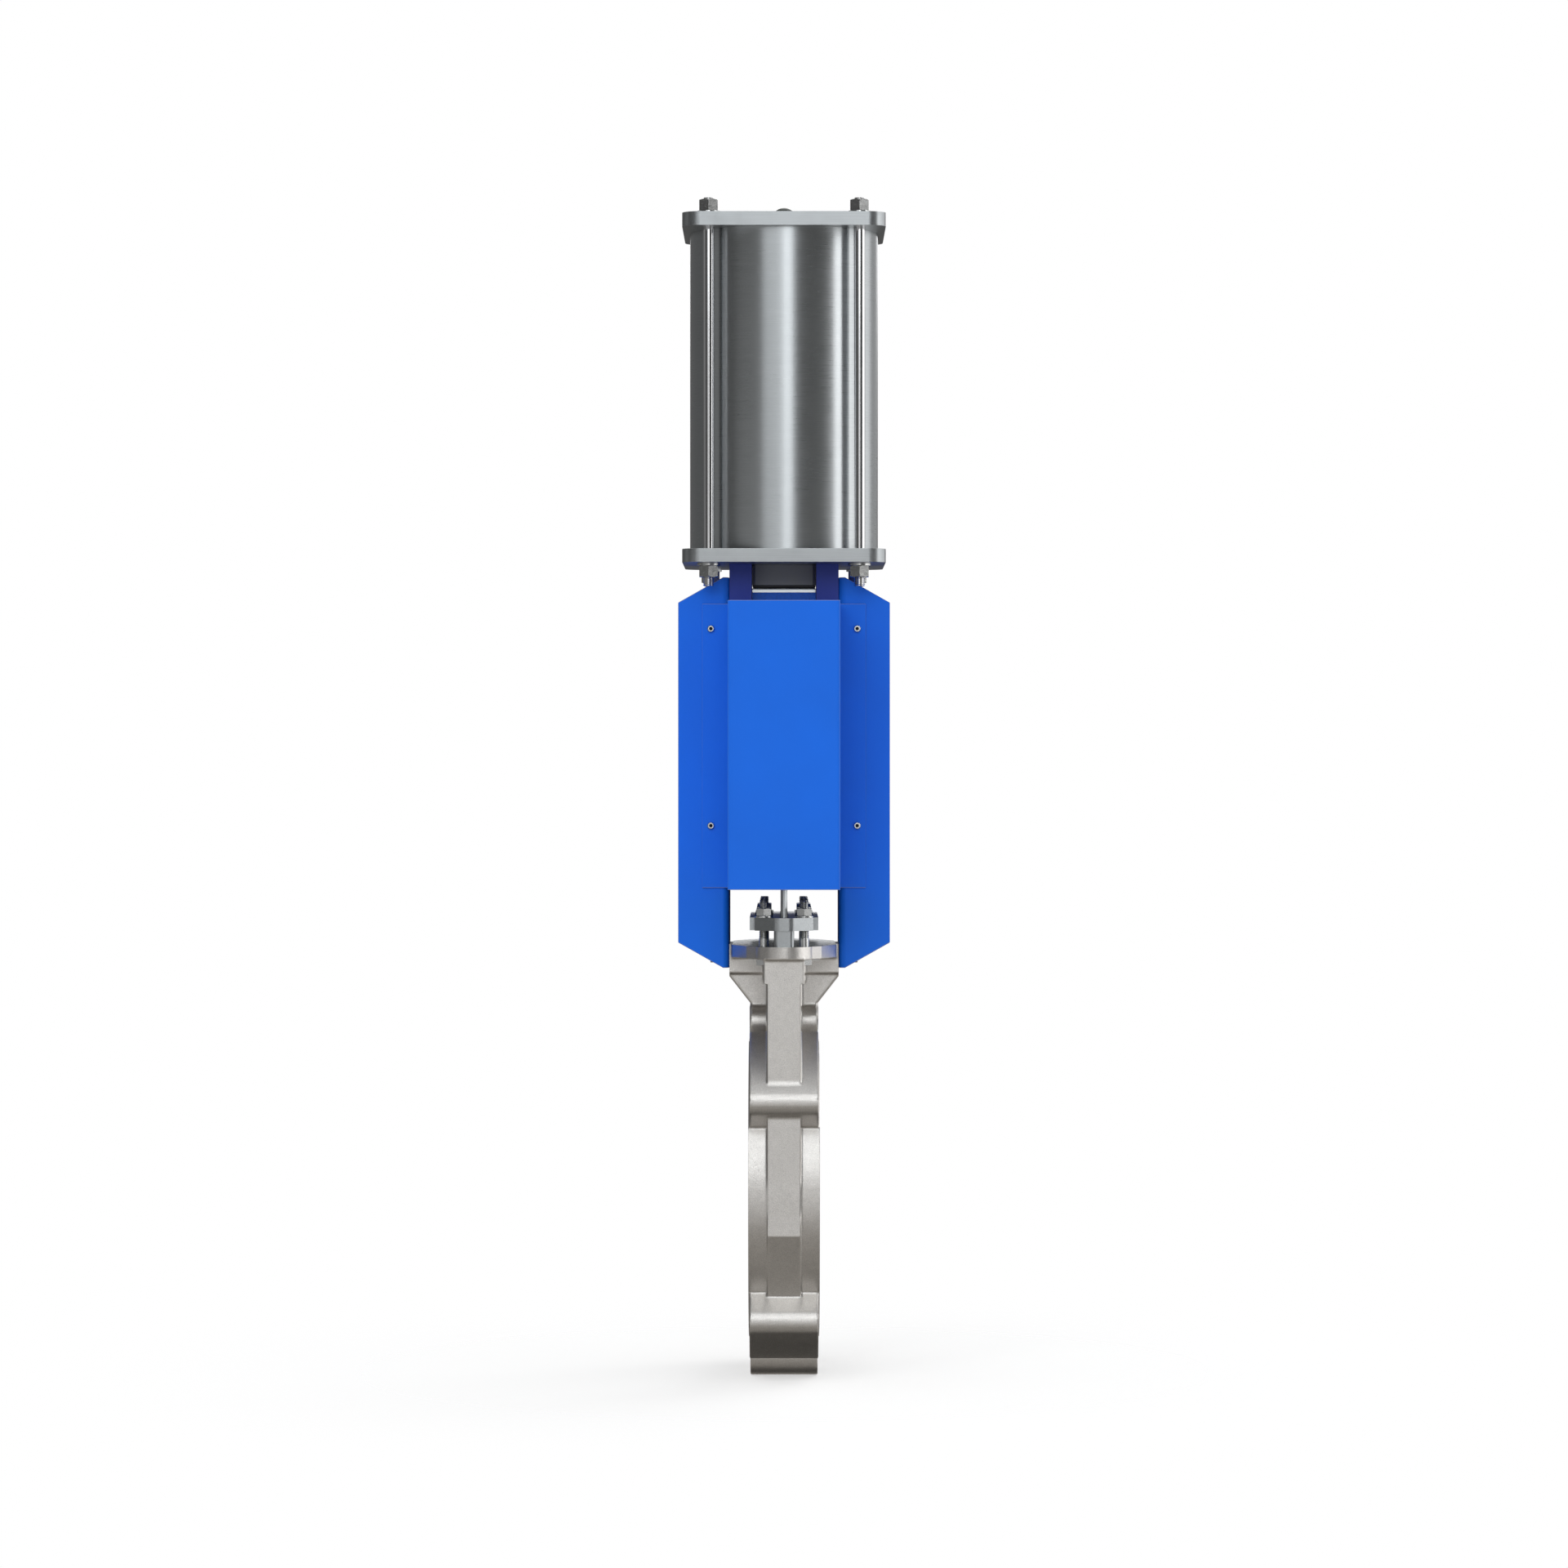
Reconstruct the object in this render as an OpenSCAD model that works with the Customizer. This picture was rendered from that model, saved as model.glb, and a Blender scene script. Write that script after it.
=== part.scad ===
// Wafer knife gate valve, DN 200, with a double-acting pneumatic cylinder.
// Millimetres. Z is up, X runs along the flow, -Y faces the viewer.
// The origin is the centre of the flow bore, halfway between the two faces.
// The valve is drawn open, with the gate at the top of its travel.

/* [Body] */
// Flow bore diameter
bore_d = 200; // [190:1:202]
// Raised face diameter
face_d = 263; // [260:1:263]
// Distance between the two raised faces
face_to_face = 62; // [61:0.5:80]
// Flange bolt circle diameter
bolt_circle_d = 295; // [294:0.5:296]
// Flange bolt thread diameter
flange_bolt_d = 20; // [16:1:20]
// Height of the top of the neck above the bore centre
neck_h = 216.8; // [215:0.1:226]
// Thickness of the neck flange
neck_flange_t = 11.1; // [9:0.1:13]

/* [Gate and gland] */
// Thickness of the gate
gate_t = 6; // [5:0.5:7]
// Width of the gate
gate_w = 236; // [228:1:237]
// Travel of the gate
travel = 214; // [211:1:216]
// Height of one packing ring
packing_ring_h = 10; // [8:0.5:10]
// Thickness of the gland follower
follower_t = 11.1; // [9:0.1:14]
// Gap between the neck flange and the follower
follower_gap = 13.8; // [8:0.1:15]
// Spacing of the gland bolts along the gate
gland_pitch = 56; // [56:0.5:57]

/* [Yoke and guards] */
// Distance between the two yoke plates
yoke_gap = 96; // [94:1:110]
// Depth of the yoke plates over their wings
yoke_depth = 100; // [100:1:110]
// Height of the yoke plates
yoke_h = 343.1; // [340:0.1:380]
// Sheet thickness of the yoke
yoke_sheet = 4; // [3:0.5:5]
// Width of each wing beyond the inner face of its plate
wing_w = 45; // [38:1:60]
// How far a guard stands out from the wings
guard_out = 100; // [90:1:130]
// Sheet thickness of the guards
guard_sheet = 1.5; // [1:0.1:2.5]

/* [Cylinder] */
// Cylinder bore
cyl_bore_d = 160; // [150:1:162]
// Wall thickness of the tube
tube_wall = 3.3; // [2.5:0.1:4]
// Length of tube seen between the heads
tube_len = 281.6; // [278:0.1:320]
// Width of the square heads
head_w = 178; // [174:1:200]
// Thickness of each head
head_t = 12; // [12:0.5:16]
// Spacing of the tie rods
tie_pitch = 132; // [131:0.5:134]
// Tie rod diameter
tie_d = 10; // [8:0.5:12]
// Piston rod diameter
rod_d = 30; // [26:1:32]
// Thickness of the piston
piston_t = 28; // [26:1:32]

/* [Hidden] */
$fn = 96;
// Clearances
run_gap = 0.05;
slide_gap = 0.1;
thread_gap = 0.03;
bolt_gap = 0.4;
eps = 0.01;

// Body
lug_r = 19.5;
lug_nose_r = 13.5;
lug_root = 3.5;
lug_t = 59;
rim_t = 60;
rim_r = bolt_circle_d / 2 + 17.5;
rim_nose_r = 14;
cavity_x = gate_t / 2 + 1.3;
cavity_y = gate_w / 2 + 3;
box_x = gate_t / 2 + 5.9;
box_y = gate_w / 2 + 8;
rib_x = gate_t / 2 + 11.4;
rib_top_x = gate_t / 2 + 14.6;
rib_y = gate_w / 2 + 14;
rib_step_z = neck_h - 32.1;
neck_z = neck_h - neck_flange_t;
box_z = neck_h - 44.8;
ear_x = yoke_gap / 2;
ear_z = neck_h - 25.9;
seat_r0 = bore_d / 2 + 2.5;
seat_r1 = bore_d / 2 + 9;
blind_x = cavity_x + 4.2;
rail_in = 5;
rail_z0 = 60;
angle_a = 75;
angle_b = 45;

// Gate, open
gate_z0 = bore_d / 2 + 5;
gate_arc_z = gate_z0 + gate_w / 2;
gate_low_z = gate_arc_z - travel;

// Gland
gland_x = gate_t / 2 + 14.6;
gland_ys = [for (i = [-2:2]) i * gland_pitch];
gland_bolt_d = 8;
follower_z = neck_h + follower_gap;
follower_y = gate_w / 2 + 12;
follower_x0 = gland_x + 7.8;
follower_x1 = gland_x + 12.2;
follower_step_y = 2 * gland_pitch - 11;
follower_flat_x = 3.5;
follower_r = 9;
follower_facet = 38;
tongue_z = box_z + 3 * packing_ring_h + 1;
gland_head_h = 5.3;
gland_head_af = 13;
gland_nut_af = 12.6;
gland_washer_t = 1.6;
gland_nut_h = 6.5;

// Yoke, heights from the neck upwards
yoke_z = neck_h - 20.7;
yoke_top = yoke_z + yoke_h;
head_z = yoke_top + 11.8;
head_top = head_z + head_t;
tube_top = head_top + tube_len;
upper_top = tube_top + head_t;
wing_y = yoke_depth / 2;
stud_d = 10;
stud_y = 32;
stud_low_z = neck_h - 8.4;
stud_high_z = head_z - 29;
stud_depth = 18;
stud_washer_t = 2;
spring_washer_t = 2.4;
stud_nut_h = 8.4;
guard_z0 = yoke_z + 70.4;
guard_z1 = yoke_top - 23.4;
guard_x0 = yoke_gap / 2 + 0.5;
guard_x1 = yoke_gap / 2 + 23.8;
guard_y = wing_y + guard_out;
screw_x = yoke_gap / 2 + 16.2;
screw_d = 4;
screw_low = 54.5;
screw_high = 21.9;
screw_zs = [guard_z0 + screw_low, guard_z1 - screw_high];

// Head blocks, rod guide, coupling
block_x0 = 28.4;
block_h = 49;
block_y = 46;
block_screw_d = 8;
block_screw_x = (block_x0 + yoke_gap / 2) / 2;
block_screw_y = 14;
guide_x = block_x0 - 0.4;
guide_y = 30;
guide_h = 18;
guide_z = head_z - guide_h;
guide_spigot_r = 23;
guide_screw_x = 21;
guide_screw_y = 22.5;
wiper_plate_t = 2.2;
coupling_x = block_x0 - 0.4;
coupling_y = 30;
coupling_bevel_h = 3;
coupling_bevel_in = 0.8;
coupling_z1 = guide_z - 3;
coupling_h = 58;
slot_h = 28;
coupling_z0 = coupling_z1 - coupling_h;
gate_z1 = coupling_z0 + slot_h;
pin_z = coupling_z0 + slot_h / 2;
pin_y = 14;
pin_d = 12;
pin_head_af = 18;
pin_nut_h = 10.8;

// Cylinder
bore_r = cyl_bore_d / 2;
tube_r = bore_r + tube_wall;
groove_depth = 1.5;
gasket_t = 0.5;
tie_xy = tie_pitch / 2;
tie_washer_t = 2.4;
tie_nut_h = 10;
tie_nut_af = 16.2;
rod_r = rod_d / 2;
rod_thread_r = 12;
rod_neck_r = 10;
piston_z = tube_top - 54.6;
piston_top = piston_z + piston_t;
piston_nut_h = 16;
plug_r = 6.5;
dome_r = 12;
port_r = 4.3;
port_feed_y = 66;

// Colours
steel_c = [0.72, 0.73, 0.74];
cast_c = [0.70, 0.69, 0.67];
blue_c = [0.11, 0.36, 0.83];
dark_c = [0.20, 0.22, 0.36];
black_c = [0.12, 0.12, 0.12];
white_c = [0.9, 0.9, 0.86];
bronze_c = [0.72, 0.55, 0.30];

// Flat outlines stood up: first axis to Y (or X), second axis to Z

module along_x(t) {
  rotate([90, 0, 90]) linear_extrude(t, center = true) children();
}

module along_y(t) {
  rotate([90, 0, 0]) linear_extrude(t, center = true) children();
}

module both_y() {
  children();
  mirror([0, 1, 0]) children();
}

module both_x() {
  children();
  mirror([1, 0, 0]) children();
}

module ring(r0, r1, h) {
  difference() {
    cylinder(r = r1, h = h);
    translate([0, 0, -1]) cylinder(r = r0, h = h + 2);
  }
}

module x_cyl(r, x0, x1) {
  translate([x0, 0, 0]) rotate([0, 90, 0]) cylinder(r = r, h = x1 - x0);
}

module x_ring(r0, r1, x0, x1) {
  difference() {
    x_cyl(r1, x0, x1);
    x_cyl(r0, x0 - 1, x1 + 1);
  }
}

module hex(af, h) {
  intersection() {
    cylinder(d = af / cos(30), h = h, $fn = 6);
    rotate_extrude() polygon([
      [0, 0], [af * 0.5, 0], [af * 0.58, af * 0.05],
      [af * 0.58, h - af * 0.05], [af * 0.5, h], [0, h]
    ]);
  }
}

module hex_nut(af, h, r) {
  difference() {
    hex(af, h);
    translate([0, 0, -1]) cylinder(r = r, h = h + 2);
  }
}

module rounded_square(w, r) {
  square([w, w - 2 * r], center = true);
  square([w - 2 * r, w], center = true);
  for (x = [-1, 1], y = [-1, 1])
    translate([x * (w / 2 - r), y * (w / 2 - r)]) circle(r = r);
}

module rounded_bar(x, y, r) {
  square([2 * x, 2 * (y - r)], center = true);
  square([2 * (x - r), 2 * y], center = true);
  for (i = [-1, 1], j = [-1, 1])
    translate([i * (x - r), j * (y - r)]) circle(r = r);
}

// Body

function polar(r, a) = [r * cos(a), r * sin(a)];

module rim_sector(a0, a1) {
  // Rim from the nose at a0 round to the shoulder at a1
  c = polar(rim_r - rim_nose_r, a0);
  intersection() {
    circle(r = rim_r);
    polygon([
      [0, 0], polar(rim_r * 1.3, a0), polar(rim_r * 1.5, (a0 + a1) / 2),
      polar(rim_r * 1.3, a1)
    ]);
  }
  translate(c) circle(r = rim_nose_r);
  translate(c) rotate(a0) translate([-60, -rim_nose_r]) square([60, rim_nose_r]);
}

module neck_outline() {
  nose = 25;
  y0 = rib_y + 7 - nose;
  for (s = [-1, 1]) translate([0, s * y0]) circle(r = nose);
  polygon([
    [17.9, y0 + 17.9], [32.6, y0 - 9], [45.2, y0 - 47], [45.2, -y0 + 47],
    [32.6, -y0 + 9], [17.9, -y0 - 17.9], [-17.9, -y0 - 17.9], [-32.6, -y0 + 9],
    [-45.2, -y0 + 47], [-45.2, y0 - 47], [-32.6, y0 - 9], [-17.9, y0 + 17.9]
  ]);
}

module housing_outline() {
  polygon([
    [rib_y, rib_step_z + 4], [rib_y, -33], [rib_y - 26.5, -86], [rib_y - 60, -120],
    [-rib_y + 60, -120], [-rib_y + 26.5, -86], [-rib_y, -33], [-rib_y, rib_step_z + 4]
  ]);
}

module ear() {
  // One cast ear with its pad and gusset, on the +X and +Y side
  translate([0, stud_y, 0]) {
    translate([rib_x - 2, -16, ear_z]) cube([ear_x - rib_x + 2, 32, neck_h - ear_z]);
    along_y(24) polygon([
      [rib_x - 2, neck_z], [ear_x, neck_z], [ear_x, ear_z - 0.5],
      [29.2, ear_z - 26.5], [29.2, 120], [rib_x - 2, 120]
    ]);
  }
}

module bolt_positions(r) {
  for (a = [angle_a, angle_b]) for (s = [-1, 1])
    translate([0, s * r * cos(a), r * sin(a)]) children();
}

module upper_lug() {
  // Boss with two round noses on a narrower root
  n = lug_r - lug_nose_r;
  for (s = [-1, 1]) translate([s * n, n]) circle(r = lug_nose_r);
  translate([-n, 0]) square([2 * n, lug_r]);
  translate([-lug_r + lug_root, -40]) square([2 * (lug_r - lug_root), 40 + n]);
}

module body_shape() {
  along_x(face_to_face) circle(d = face_d, $fn = 180);
  along_x(rim_t) for (s = [0, 1]) mirror([s, 0]) {
    rim_sector(33.3, 59.5);
    mirror([0, 1]) rim_sector(45.9, 60.5);
  }
  along_x(lug_t) for (s = [-1, 1]) {
    c = polar(bolt_circle_d / 2, angle_a);
    translate([s * c[0], c[1]]) upper_lug();
    translate([s * c[0], -c[1]]) {
      circle(r = lug_r);
      translate([-lug_r, 0]) square([2 * lug_r, 40]);
    }
  }
  along_x(2 * rib_x) housing_outline();
  translate([0, 0, (rib_step_z + neck_h) / 2])
    cube([2 * rib_top_x, 2 * rib_y, neck_h - rib_step_z], center = true);
  translate([0, 0, neck_z]) linear_extrude(neck_flange_t) neck_outline();
  both_x() both_y() ear();
}

module gland_pocket() {
  // Room for a bolt head under the neck flange
  translate([gland_x - 6.7, -7.9, neck_z - gland_head_h - 0.5])
    cube([20, 15.8, gland_head_h + 0.5]);
}

module body() {
  r = bolt_circle_d / 2;
  color(cast_c) difference() {
    body_shape();
    x_cyl(bore_d / 2, -60, 60, $fn = 180);
    x_cyl(seat_r0, 0, 60, $fn = 180);
    x_cyl(seat_r1, 0, cavity_x + 6, $fn = 180);
    along_x(2 * cavity_x) {
      translate([0, gate_low_z]) circle(r = cavity_y, $fn = 180);
      translate([-cavity_y, gate_low_z]) square([2 * cavity_y, neck_h]);
    }
    translate([0, 0, box_z]) linear_extrude(neck_h) rounded_bar(box_x, box_y, 4);
    for (s = [0, 1]) mirror([s, 0, 0]) {
      for (y = gland_ys) translate([0, y, 0]) {
        translate([gland_x, 0, box_z]) cylinder(d = gland_bolt_d + bolt_gap, h = 60);
        gland_pocket();
      }
      bolt_positions(r) x_cyl(flange_bolt_d / 2, blind_x, 60);
      for (y = [-stud_y, stud_y]) translate([0, y, stud_low_z])
        x_cyl(stud_d / 2, ear_x - stud_depth, ear_x + 1);
    }
    mirror([0, 0, 1]) bolt_positions(r) x_cyl(flange_bolt_d / 2, -60, 60);
  }
}

module seat_retainer() {
  color(steel_c) x_ring(bore_d / 2, seat_r0, cavity_x, face_to_face / 2, $fn = 180);
}

module seat_seal() {
  color(black_c) x_ring(seat_r0, seat_r1, gate_t / 2 + run_gap, cavity_x + 6, $fn = 180);
}

module gate_guides() {
  // Plastic channels that carry the two edges of the gate
  color(white_c) both_y() difference() {
    translate([-cavity_x, gate_w / 2 - rail_in, rail_z0])
      cube([2 * cavity_x, cavity_y - gate_w / 2 + rail_in, box_z - rail_z0]);
    translate([-gate_t / 2 - run_gap, 0, 0])
      cube([gate_t + 2 * run_gap, gate_w / 2 + slide_gap, neck_h]);
    x_cyl(seat_r1 + 1, 0, 40);
  }
}

module packing_rings() {
  color(white_c) for (i = [0:2])
    translate([0, 0, box_z + i * packing_ring_h + 0.05 * i])
      linear_extrude(packing_ring_h) difference() {
        rounded_bar(box_x, box_y, 4);
        square([gate_t + 2 * run_gap, gate_w + 2 * slide_gap], center = true);
      }
}

module follower_outline() {
  // One quarter, from the round corner to the wide middle, then mirrored
  a1 = follower_facet;
  x = follower_flat_x + follower_r * sin(a1);
  y = follower_y - follower_r * (1 - cos(a1));
  q = concat(
    [for (a = [0:a1 / 4:a1])
      [follower_flat_x + follower_r * sin(a), follower_y - follower_r * (1 - cos(a))]],
    [[follower_x0, y - (follower_x0 - x) * tan(a1)], [follower_x0, follower_step_y],
     [follower_x1, follower_step_y]]
  );
  n = len(q) - 1;
  polygon(concat(
    q, [for (i = [n:-1:0]) [q[i][0], -q[i][1]]],
    [for (p = q) [-p[0], -p[1]]], [for (i = [n:-1:0]) [-q[i][0], q[i][1]]]
  ));
}

module gland_follower() {
  color(steel_c) difference() {
    union() {
      translate([0, 0, follower_z]) linear_extrude(follower_t) follower_outline();
      translate([0, 0, tongue_z]) linear_extrude(follower_z - tongue_z + 1)
        rounded_bar(box_x - 0.1, box_y - 0.4, 3.6);
    }
    translate([0, 0, follower_z]) cube([gate_t + 0.8, gate_w + 1, 120], center = true);
    for (x = [-gland_x, gland_x], y = gland_ys) translate([x, y, follower_z - 1])
      cylinder(d = gland_bolt_d + bolt_gap, h = follower_t + 2);
  }
}

module gland_each(z) {
  for (x = [-gland_x, gland_x], y = gland_ys) translate([x, y, z]) children();
}

module gland_bolts() {
  top = follower_z + follower_t + gland_washer_t + gland_nut_h + 6;
  color(steel_c) gland_each(neck_z) {
    translate([0, 0, -gland_head_h]) rotate(30) hex(gland_head_af, gland_head_h);
    translate([0, 0, -eps]) cylinder(d = gland_bolt_d, h = top - neck_z - 0.8 + eps);
    translate([0, 0, top - neck_z - 0.8]) cylinder(r1 = gland_bolt_d / 2, r2 = 3.2, h = 0.8);
  }
}

module gland_washers() {
  color(steel_c) gland_each(follower_z + follower_t)
    ring(gland_bolt_d / 2 + 0.2, 8, gland_washer_t);
}

module gland_nuts() {
  color(steel_c) gland_each(follower_z + follower_t + gland_washer_t)
    rotate(30) hex_nut(gland_nut_af, gland_nut_h, gland_bolt_d / 2 + thread_gap);
}

// Yoke

module yoke_plate() {
  x0 = yoke_gap / 2;
  x1 = x0 + wing_w;
  t = yoke_sheet;
  cut = tan(29.4);
  color(blue_c) difference() {
    translate([0, 0, yoke_z]) linear_extrude(yoke_h) {
      translate([x0, -wing_y + t]) square([t, 2 * (wing_y - t)]);
      for (s = [-1, 1]) {
        translate([x0 + t, s > 0 ? wing_y - t : -wing_y]) square([wing_w - t, t]);
        intersection() {
          translate([x0 + t, s * (wing_y - t)]) circle(r = t);
          translate([x0, s > 0 ? wing_y - t : -wing_y]) square(t);
        }
      }
    }
    for (s = [0, 1]) translate([0, 0, yoke_z + yoke_h / 2]) mirror([0, 0, s])
      along_y(yoke_depth + 2) polygon([
        [x0 + 5.5, yoke_h / 2], [x1 + 1, yoke_h / 2 - (wing_w - 4.5) * cut],
        [x1 + 1, yoke_h / 2 + 1], [x0 + 5.5, yoke_h / 2 + 1]
      ]);
    for (y = [-stud_y, stud_y], z = [stud_low_z, stud_high_z]) translate([0, y, z])
      x_cyl((stud_d + 1) / 2, x0 - 1, x0 + t + 1);
    for (y = [-1, 1], z = screw_zs) translate([screw_x, y * (wing_y - t / 2), z])
      rotate([90, 0, 0]) cylinder(d = screw_d, h = t + 2, center = true);
  }
}

module yoke_plate_right() {
  yoke_plate();
}

module yoke_plate_left() {
  mirror([1, 0, 0]) yoke_plate();
}

module stud_each(x) {
  for (s = [0, 1]) mirror([s, 0, 0])
    for (y = [-stud_y, stud_y], z = [stud_low_z, stud_high_z])
      translate([x, y, z]) rotate([0, 90, 0]) rotate(30) children();
}

module yoke_studs() {
  l = stud_depth + yoke_sheet + stud_washer_t + spring_washer_t + stud_nut_h + 0.8;
  color(steel_c) stud_each(yoke_gap / 2 - stud_depth)
    cylinder(d = stud_d - 2 * thread_gap, h = l);
}

module yoke_washers() {
  color(steel_c) stud_each(yoke_gap / 2 + yoke_sheet)
    ring(stud_d / 2 + 0.25, 10, stud_washer_t);
}

module yoke_spring_washers() {
  color(steel_c) stud_each(yoke_gap / 2 + yoke_sheet + stud_washer_t)
    ring(stud_d / 2 + 0.1, 7.8, spring_washer_t);
}

module yoke_nuts() {
  color(steel_c) stud_each(yoke_gap / 2 + yoke_sheet + stud_washer_t + spring_washer_t)
    hex_nut(16, stud_nut_h, stud_d / 2);
}

// Guards

module guard() {
  // Hat section on the -Y side
  t = guard_sheet;
  color(blue_c) difference() {
    translate([0, 0, guard_z0]) linear_extrude(guard_z1 - guard_z0) {
      translate([-guard_x0, -guard_y]) square([2 * guard_x0, t]);
      for (s = [0, 1]) mirror([s, 0]) {
        translate([guard_x0 - t, -guard_y]) square([t, guard_out]);
        translate([guard_x0 - t, -wing_y - t]) square([guard_x1 - guard_x0 + t, t]);
      }
    }
    for (x = [-screw_x, screw_x], z = screw_zs) translate([x, -wing_y, z])
      rotate([90, 0, 0]) cylinder(d = screw_d + bolt_gap, h = 6, center = true);
  }
}

module guard_front() {
  guard();
}

module guard_rear() {
  mirror([0, 1, 0]) guard();
}

module guard_screws() {
  color(steel_c) both_y() for (x = [-screw_x, screw_x], z = screw_zs)
    translate([x, -wing_y - guard_sheet, z]) rotate([90, 0, 0]) difference() {
      union() {
        cylinder(r = 3.1, h = 1.4);
        translate([0, 0, 1.4]) cylinder(r1 = 3.1, r2 = 2.5, h = 0.7);
        translate([0, 0, -yoke_sheet - guard_sheet])
          cylinder(d = screw_d - 2 * thread_gap, h = yoke_sheet + guard_sheet + 1);
      }
      translate([0, 0, 0.8]) cylinder(d = 2.9, h = 3, $fn = 6);
    }
}

// Cylinder

module head_blocks() {
  color(dark_c) both_x() difference() {
    translate([block_x0, -block_y, head_z - block_h])
      cube([yoke_gap / 2 - block_x0, 2 * block_y, block_h]);
    for (y = [-stud_y, stud_y]) translate([0, y, stud_high_z])
      x_cyl(stud_d / 2, yoke_gap / 2 - stud_depth, yoke_gap / 2 + 1);
    for (y = [-block_screw_y, block_screw_y])
      translate([block_screw_x, y, head_z - block_h - 1]) {
        cylinder(d = block_screw_d + bolt_gap, h = block_h + 2);
        cylinder(r = 6.8, h = 19);
      }
  }
}

module socket_screw(d, head_d, head_h, l) {
  // Head below, thread upwards from z = 0
  difference() {
    union() {
      translate([0, 0, -head_h]) cylinder(d = head_d, h = head_h);
      translate([0, 0, -eps]) cylinder(d = d - 2 * thread_gap, h = l);
    }
    translate([0, 0, -head_h - 1]) cylinder(d = d * 0.88, h = 1 + head_h * 0.55, $fn = 6);
  }
}

module block_screws() {
  color(steel_c) for (x = [-block_screw_x, block_screw_x], y = [-block_screw_y, block_screw_y])
    translate([x, y, head_z - block_h + 18]) socket_screw(block_screw_d, 13, 8, block_h - 18 + 8);
}

module head_plate() {
  difference() {
    linear_extrude(head_t) rounded_square(head_w, 16);
    for (x = [-tie_xy, tie_xy], y = [-tie_xy, tie_xy]) translate([x, y, -1])
      cylinder(d = tie_d + bolt_gap, h = head_t + 2);
  }
}

module tube_groove() {
  ring(bore_r - 0.1, tube_r + 0.1, groove_depth + 1);
}

module lower_head() {
  color(steel_c) difference() {
    translate([0, 0, head_z]) head_plate();
    translate([0, 0, head_top - groove_depth]) tube_groove();
    translate([0, 0, head_z - 1]) cylinder(r = guide_spigot_r + run_gap, h = head_t + 2);
    for (x = [-block_screw_x, block_screw_x], y = [-block_screw_y, block_screw_y])
      translate([x, y, head_z - 1]) cylinder(d = block_screw_d, h = 10);
    for (x = [-guide_screw_x, guide_screw_x], y = [-guide_screw_y, guide_screw_y])
      translate([x, y, head_z - 1]) cylinder(d = 6, h = 10);
    translate([0, head_w / 2 + 1, head_z + head_t / 2]) rotate([90, 0, 0])
      cylinder(r = port_r, h = head_w / 2 - 60);
    translate([0, port_feed_y, head_z + head_t / 2]) cylinder(r = 3, h = head_t);
  }
}

module upper_head() {
  color(steel_c) difference() {
    translate([0, 0, tube_top]) head_plate();
    translate([0, 0, tube_top - 1]) tube_groove();
    translate([0, 0, tube_top - 1]) cylinder(r = plug_r, h = head_t + 2);
    translate([0, head_w / 2 + 1, tube_top + head_t / 2]) rotate([90, 0, 0])
      cylinder(r = port_r, h = head_w / 2 - 60);
    translate([0, port_feed_y, tube_top - 1]) cylinder(r = 3, h = head_t / 2 + 1);
  }
}

module rod_guide() {
  c = 2.7;
  color(steel_c) difference() {
    union() {
      translate([0, 0, guide_z]) linear_extrude(guide_h) polygon([
        [guide_x - c, guide_y], [guide_x, guide_y - c], [guide_x, -guide_y + c],
        [guide_x - c, -guide_y], [-guide_x + c, -guide_y], [-guide_x, -guide_y + c],
        [-guide_x, guide_y - c], [-guide_x + c, guide_y]
      ]);
      translate([0, 0, head_z - eps]) cylinder(r = guide_spigot_r, h = head_t + eps);
    }
    translate([0, 0, guide_z - 1]) cylinder(r = rod_r + 0.4, h = guide_h + head_t + 2);
    translate([0, 0, guide_z - 1]) cylinder(r = rod_r + 4, h = 5.5);
    translate([0, 0, guide_z + 8]) cylinder(r = rod_r + 3, h = guide_h + head_t);
    translate([0, 0, head_top - 6]) cylinder(r = rod_r + 5, h = 7);
    for (x = [-guide_screw_x, guide_screw_x], y = [-guide_screw_y, guide_screw_y])
      translate([x, y, guide_z - 1]) {
        cylinder(d = 6.4, h = guide_h + 2);
        cylinder(d = 10.6, h = 7.5);
      }
  }
}

module guide_screws() {
  color(steel_c) for (x = [-guide_screw_x, guide_screw_x], y = [-guide_screw_y, guide_screw_y])
    translate([x, y, guide_z + 6.5]) socket_screw(6, 10, 6, guide_h - 6.5 + 8.5);
}

module rod_bush() {
  color(bronze_c) translate([0, 0, guide_z + 8])
    ring(rod_r + run_gap, rod_r + 3, head_top - 6 - guide_z - 8);
}

module rod_seal() {
  color(black_c) translate([0, 0, head_top - 6]) ring(rod_r + run_gap, rod_r + 5, 5.5);
}

module rod_wiper() {
  // Lip ring in the guide and a flat plate under it, open at the four screws
  x = guide_x - 0.5;
  y = guide_y - 0.8;
  color(black_c) difference() {
    union() {
      translate([0, 0, guide_z - eps]) cylinder(r = rod_r + 4, h = 4.5 + eps);
      translate([-x, -y, guide_z - wiper_plate_t]) cube([2 * x, 2 * y, wiper_plate_t]);
    }
    translate([0, 0, guide_z - 5]) cylinder(r = rod_r + run_gap, h = 12);
    for (i = [-guide_screw_x, guide_screw_x], j = [-guide_screw_y, guide_screw_y])
      translate([i, j, guide_z - 5]) cylinder(d = 10.6, h = 6);
  }
}

module cylinder_tube() {
  e = groove_depth - gasket_t;
  color(steel_c) translate([0, 0, head_top - e]) difference() {
    cylinder(r = tube_r, h = tube_len + 2 * e, $fn = 180);
    translate([0, 0, -1]) cylinder(r = bore_r, h = tube_len + 2 * e + 2, $fn = 180);
  }
}

module tube_gaskets() {
  color(black_c) {
    translate([0, 0, head_top - groove_depth]) ring(bore_r, tube_r, gasket_t);
    translate([0, 0, tube_top + groove_depth - gasket_t]) ring(bore_r, tube_r, gasket_t);
  }
}

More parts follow.
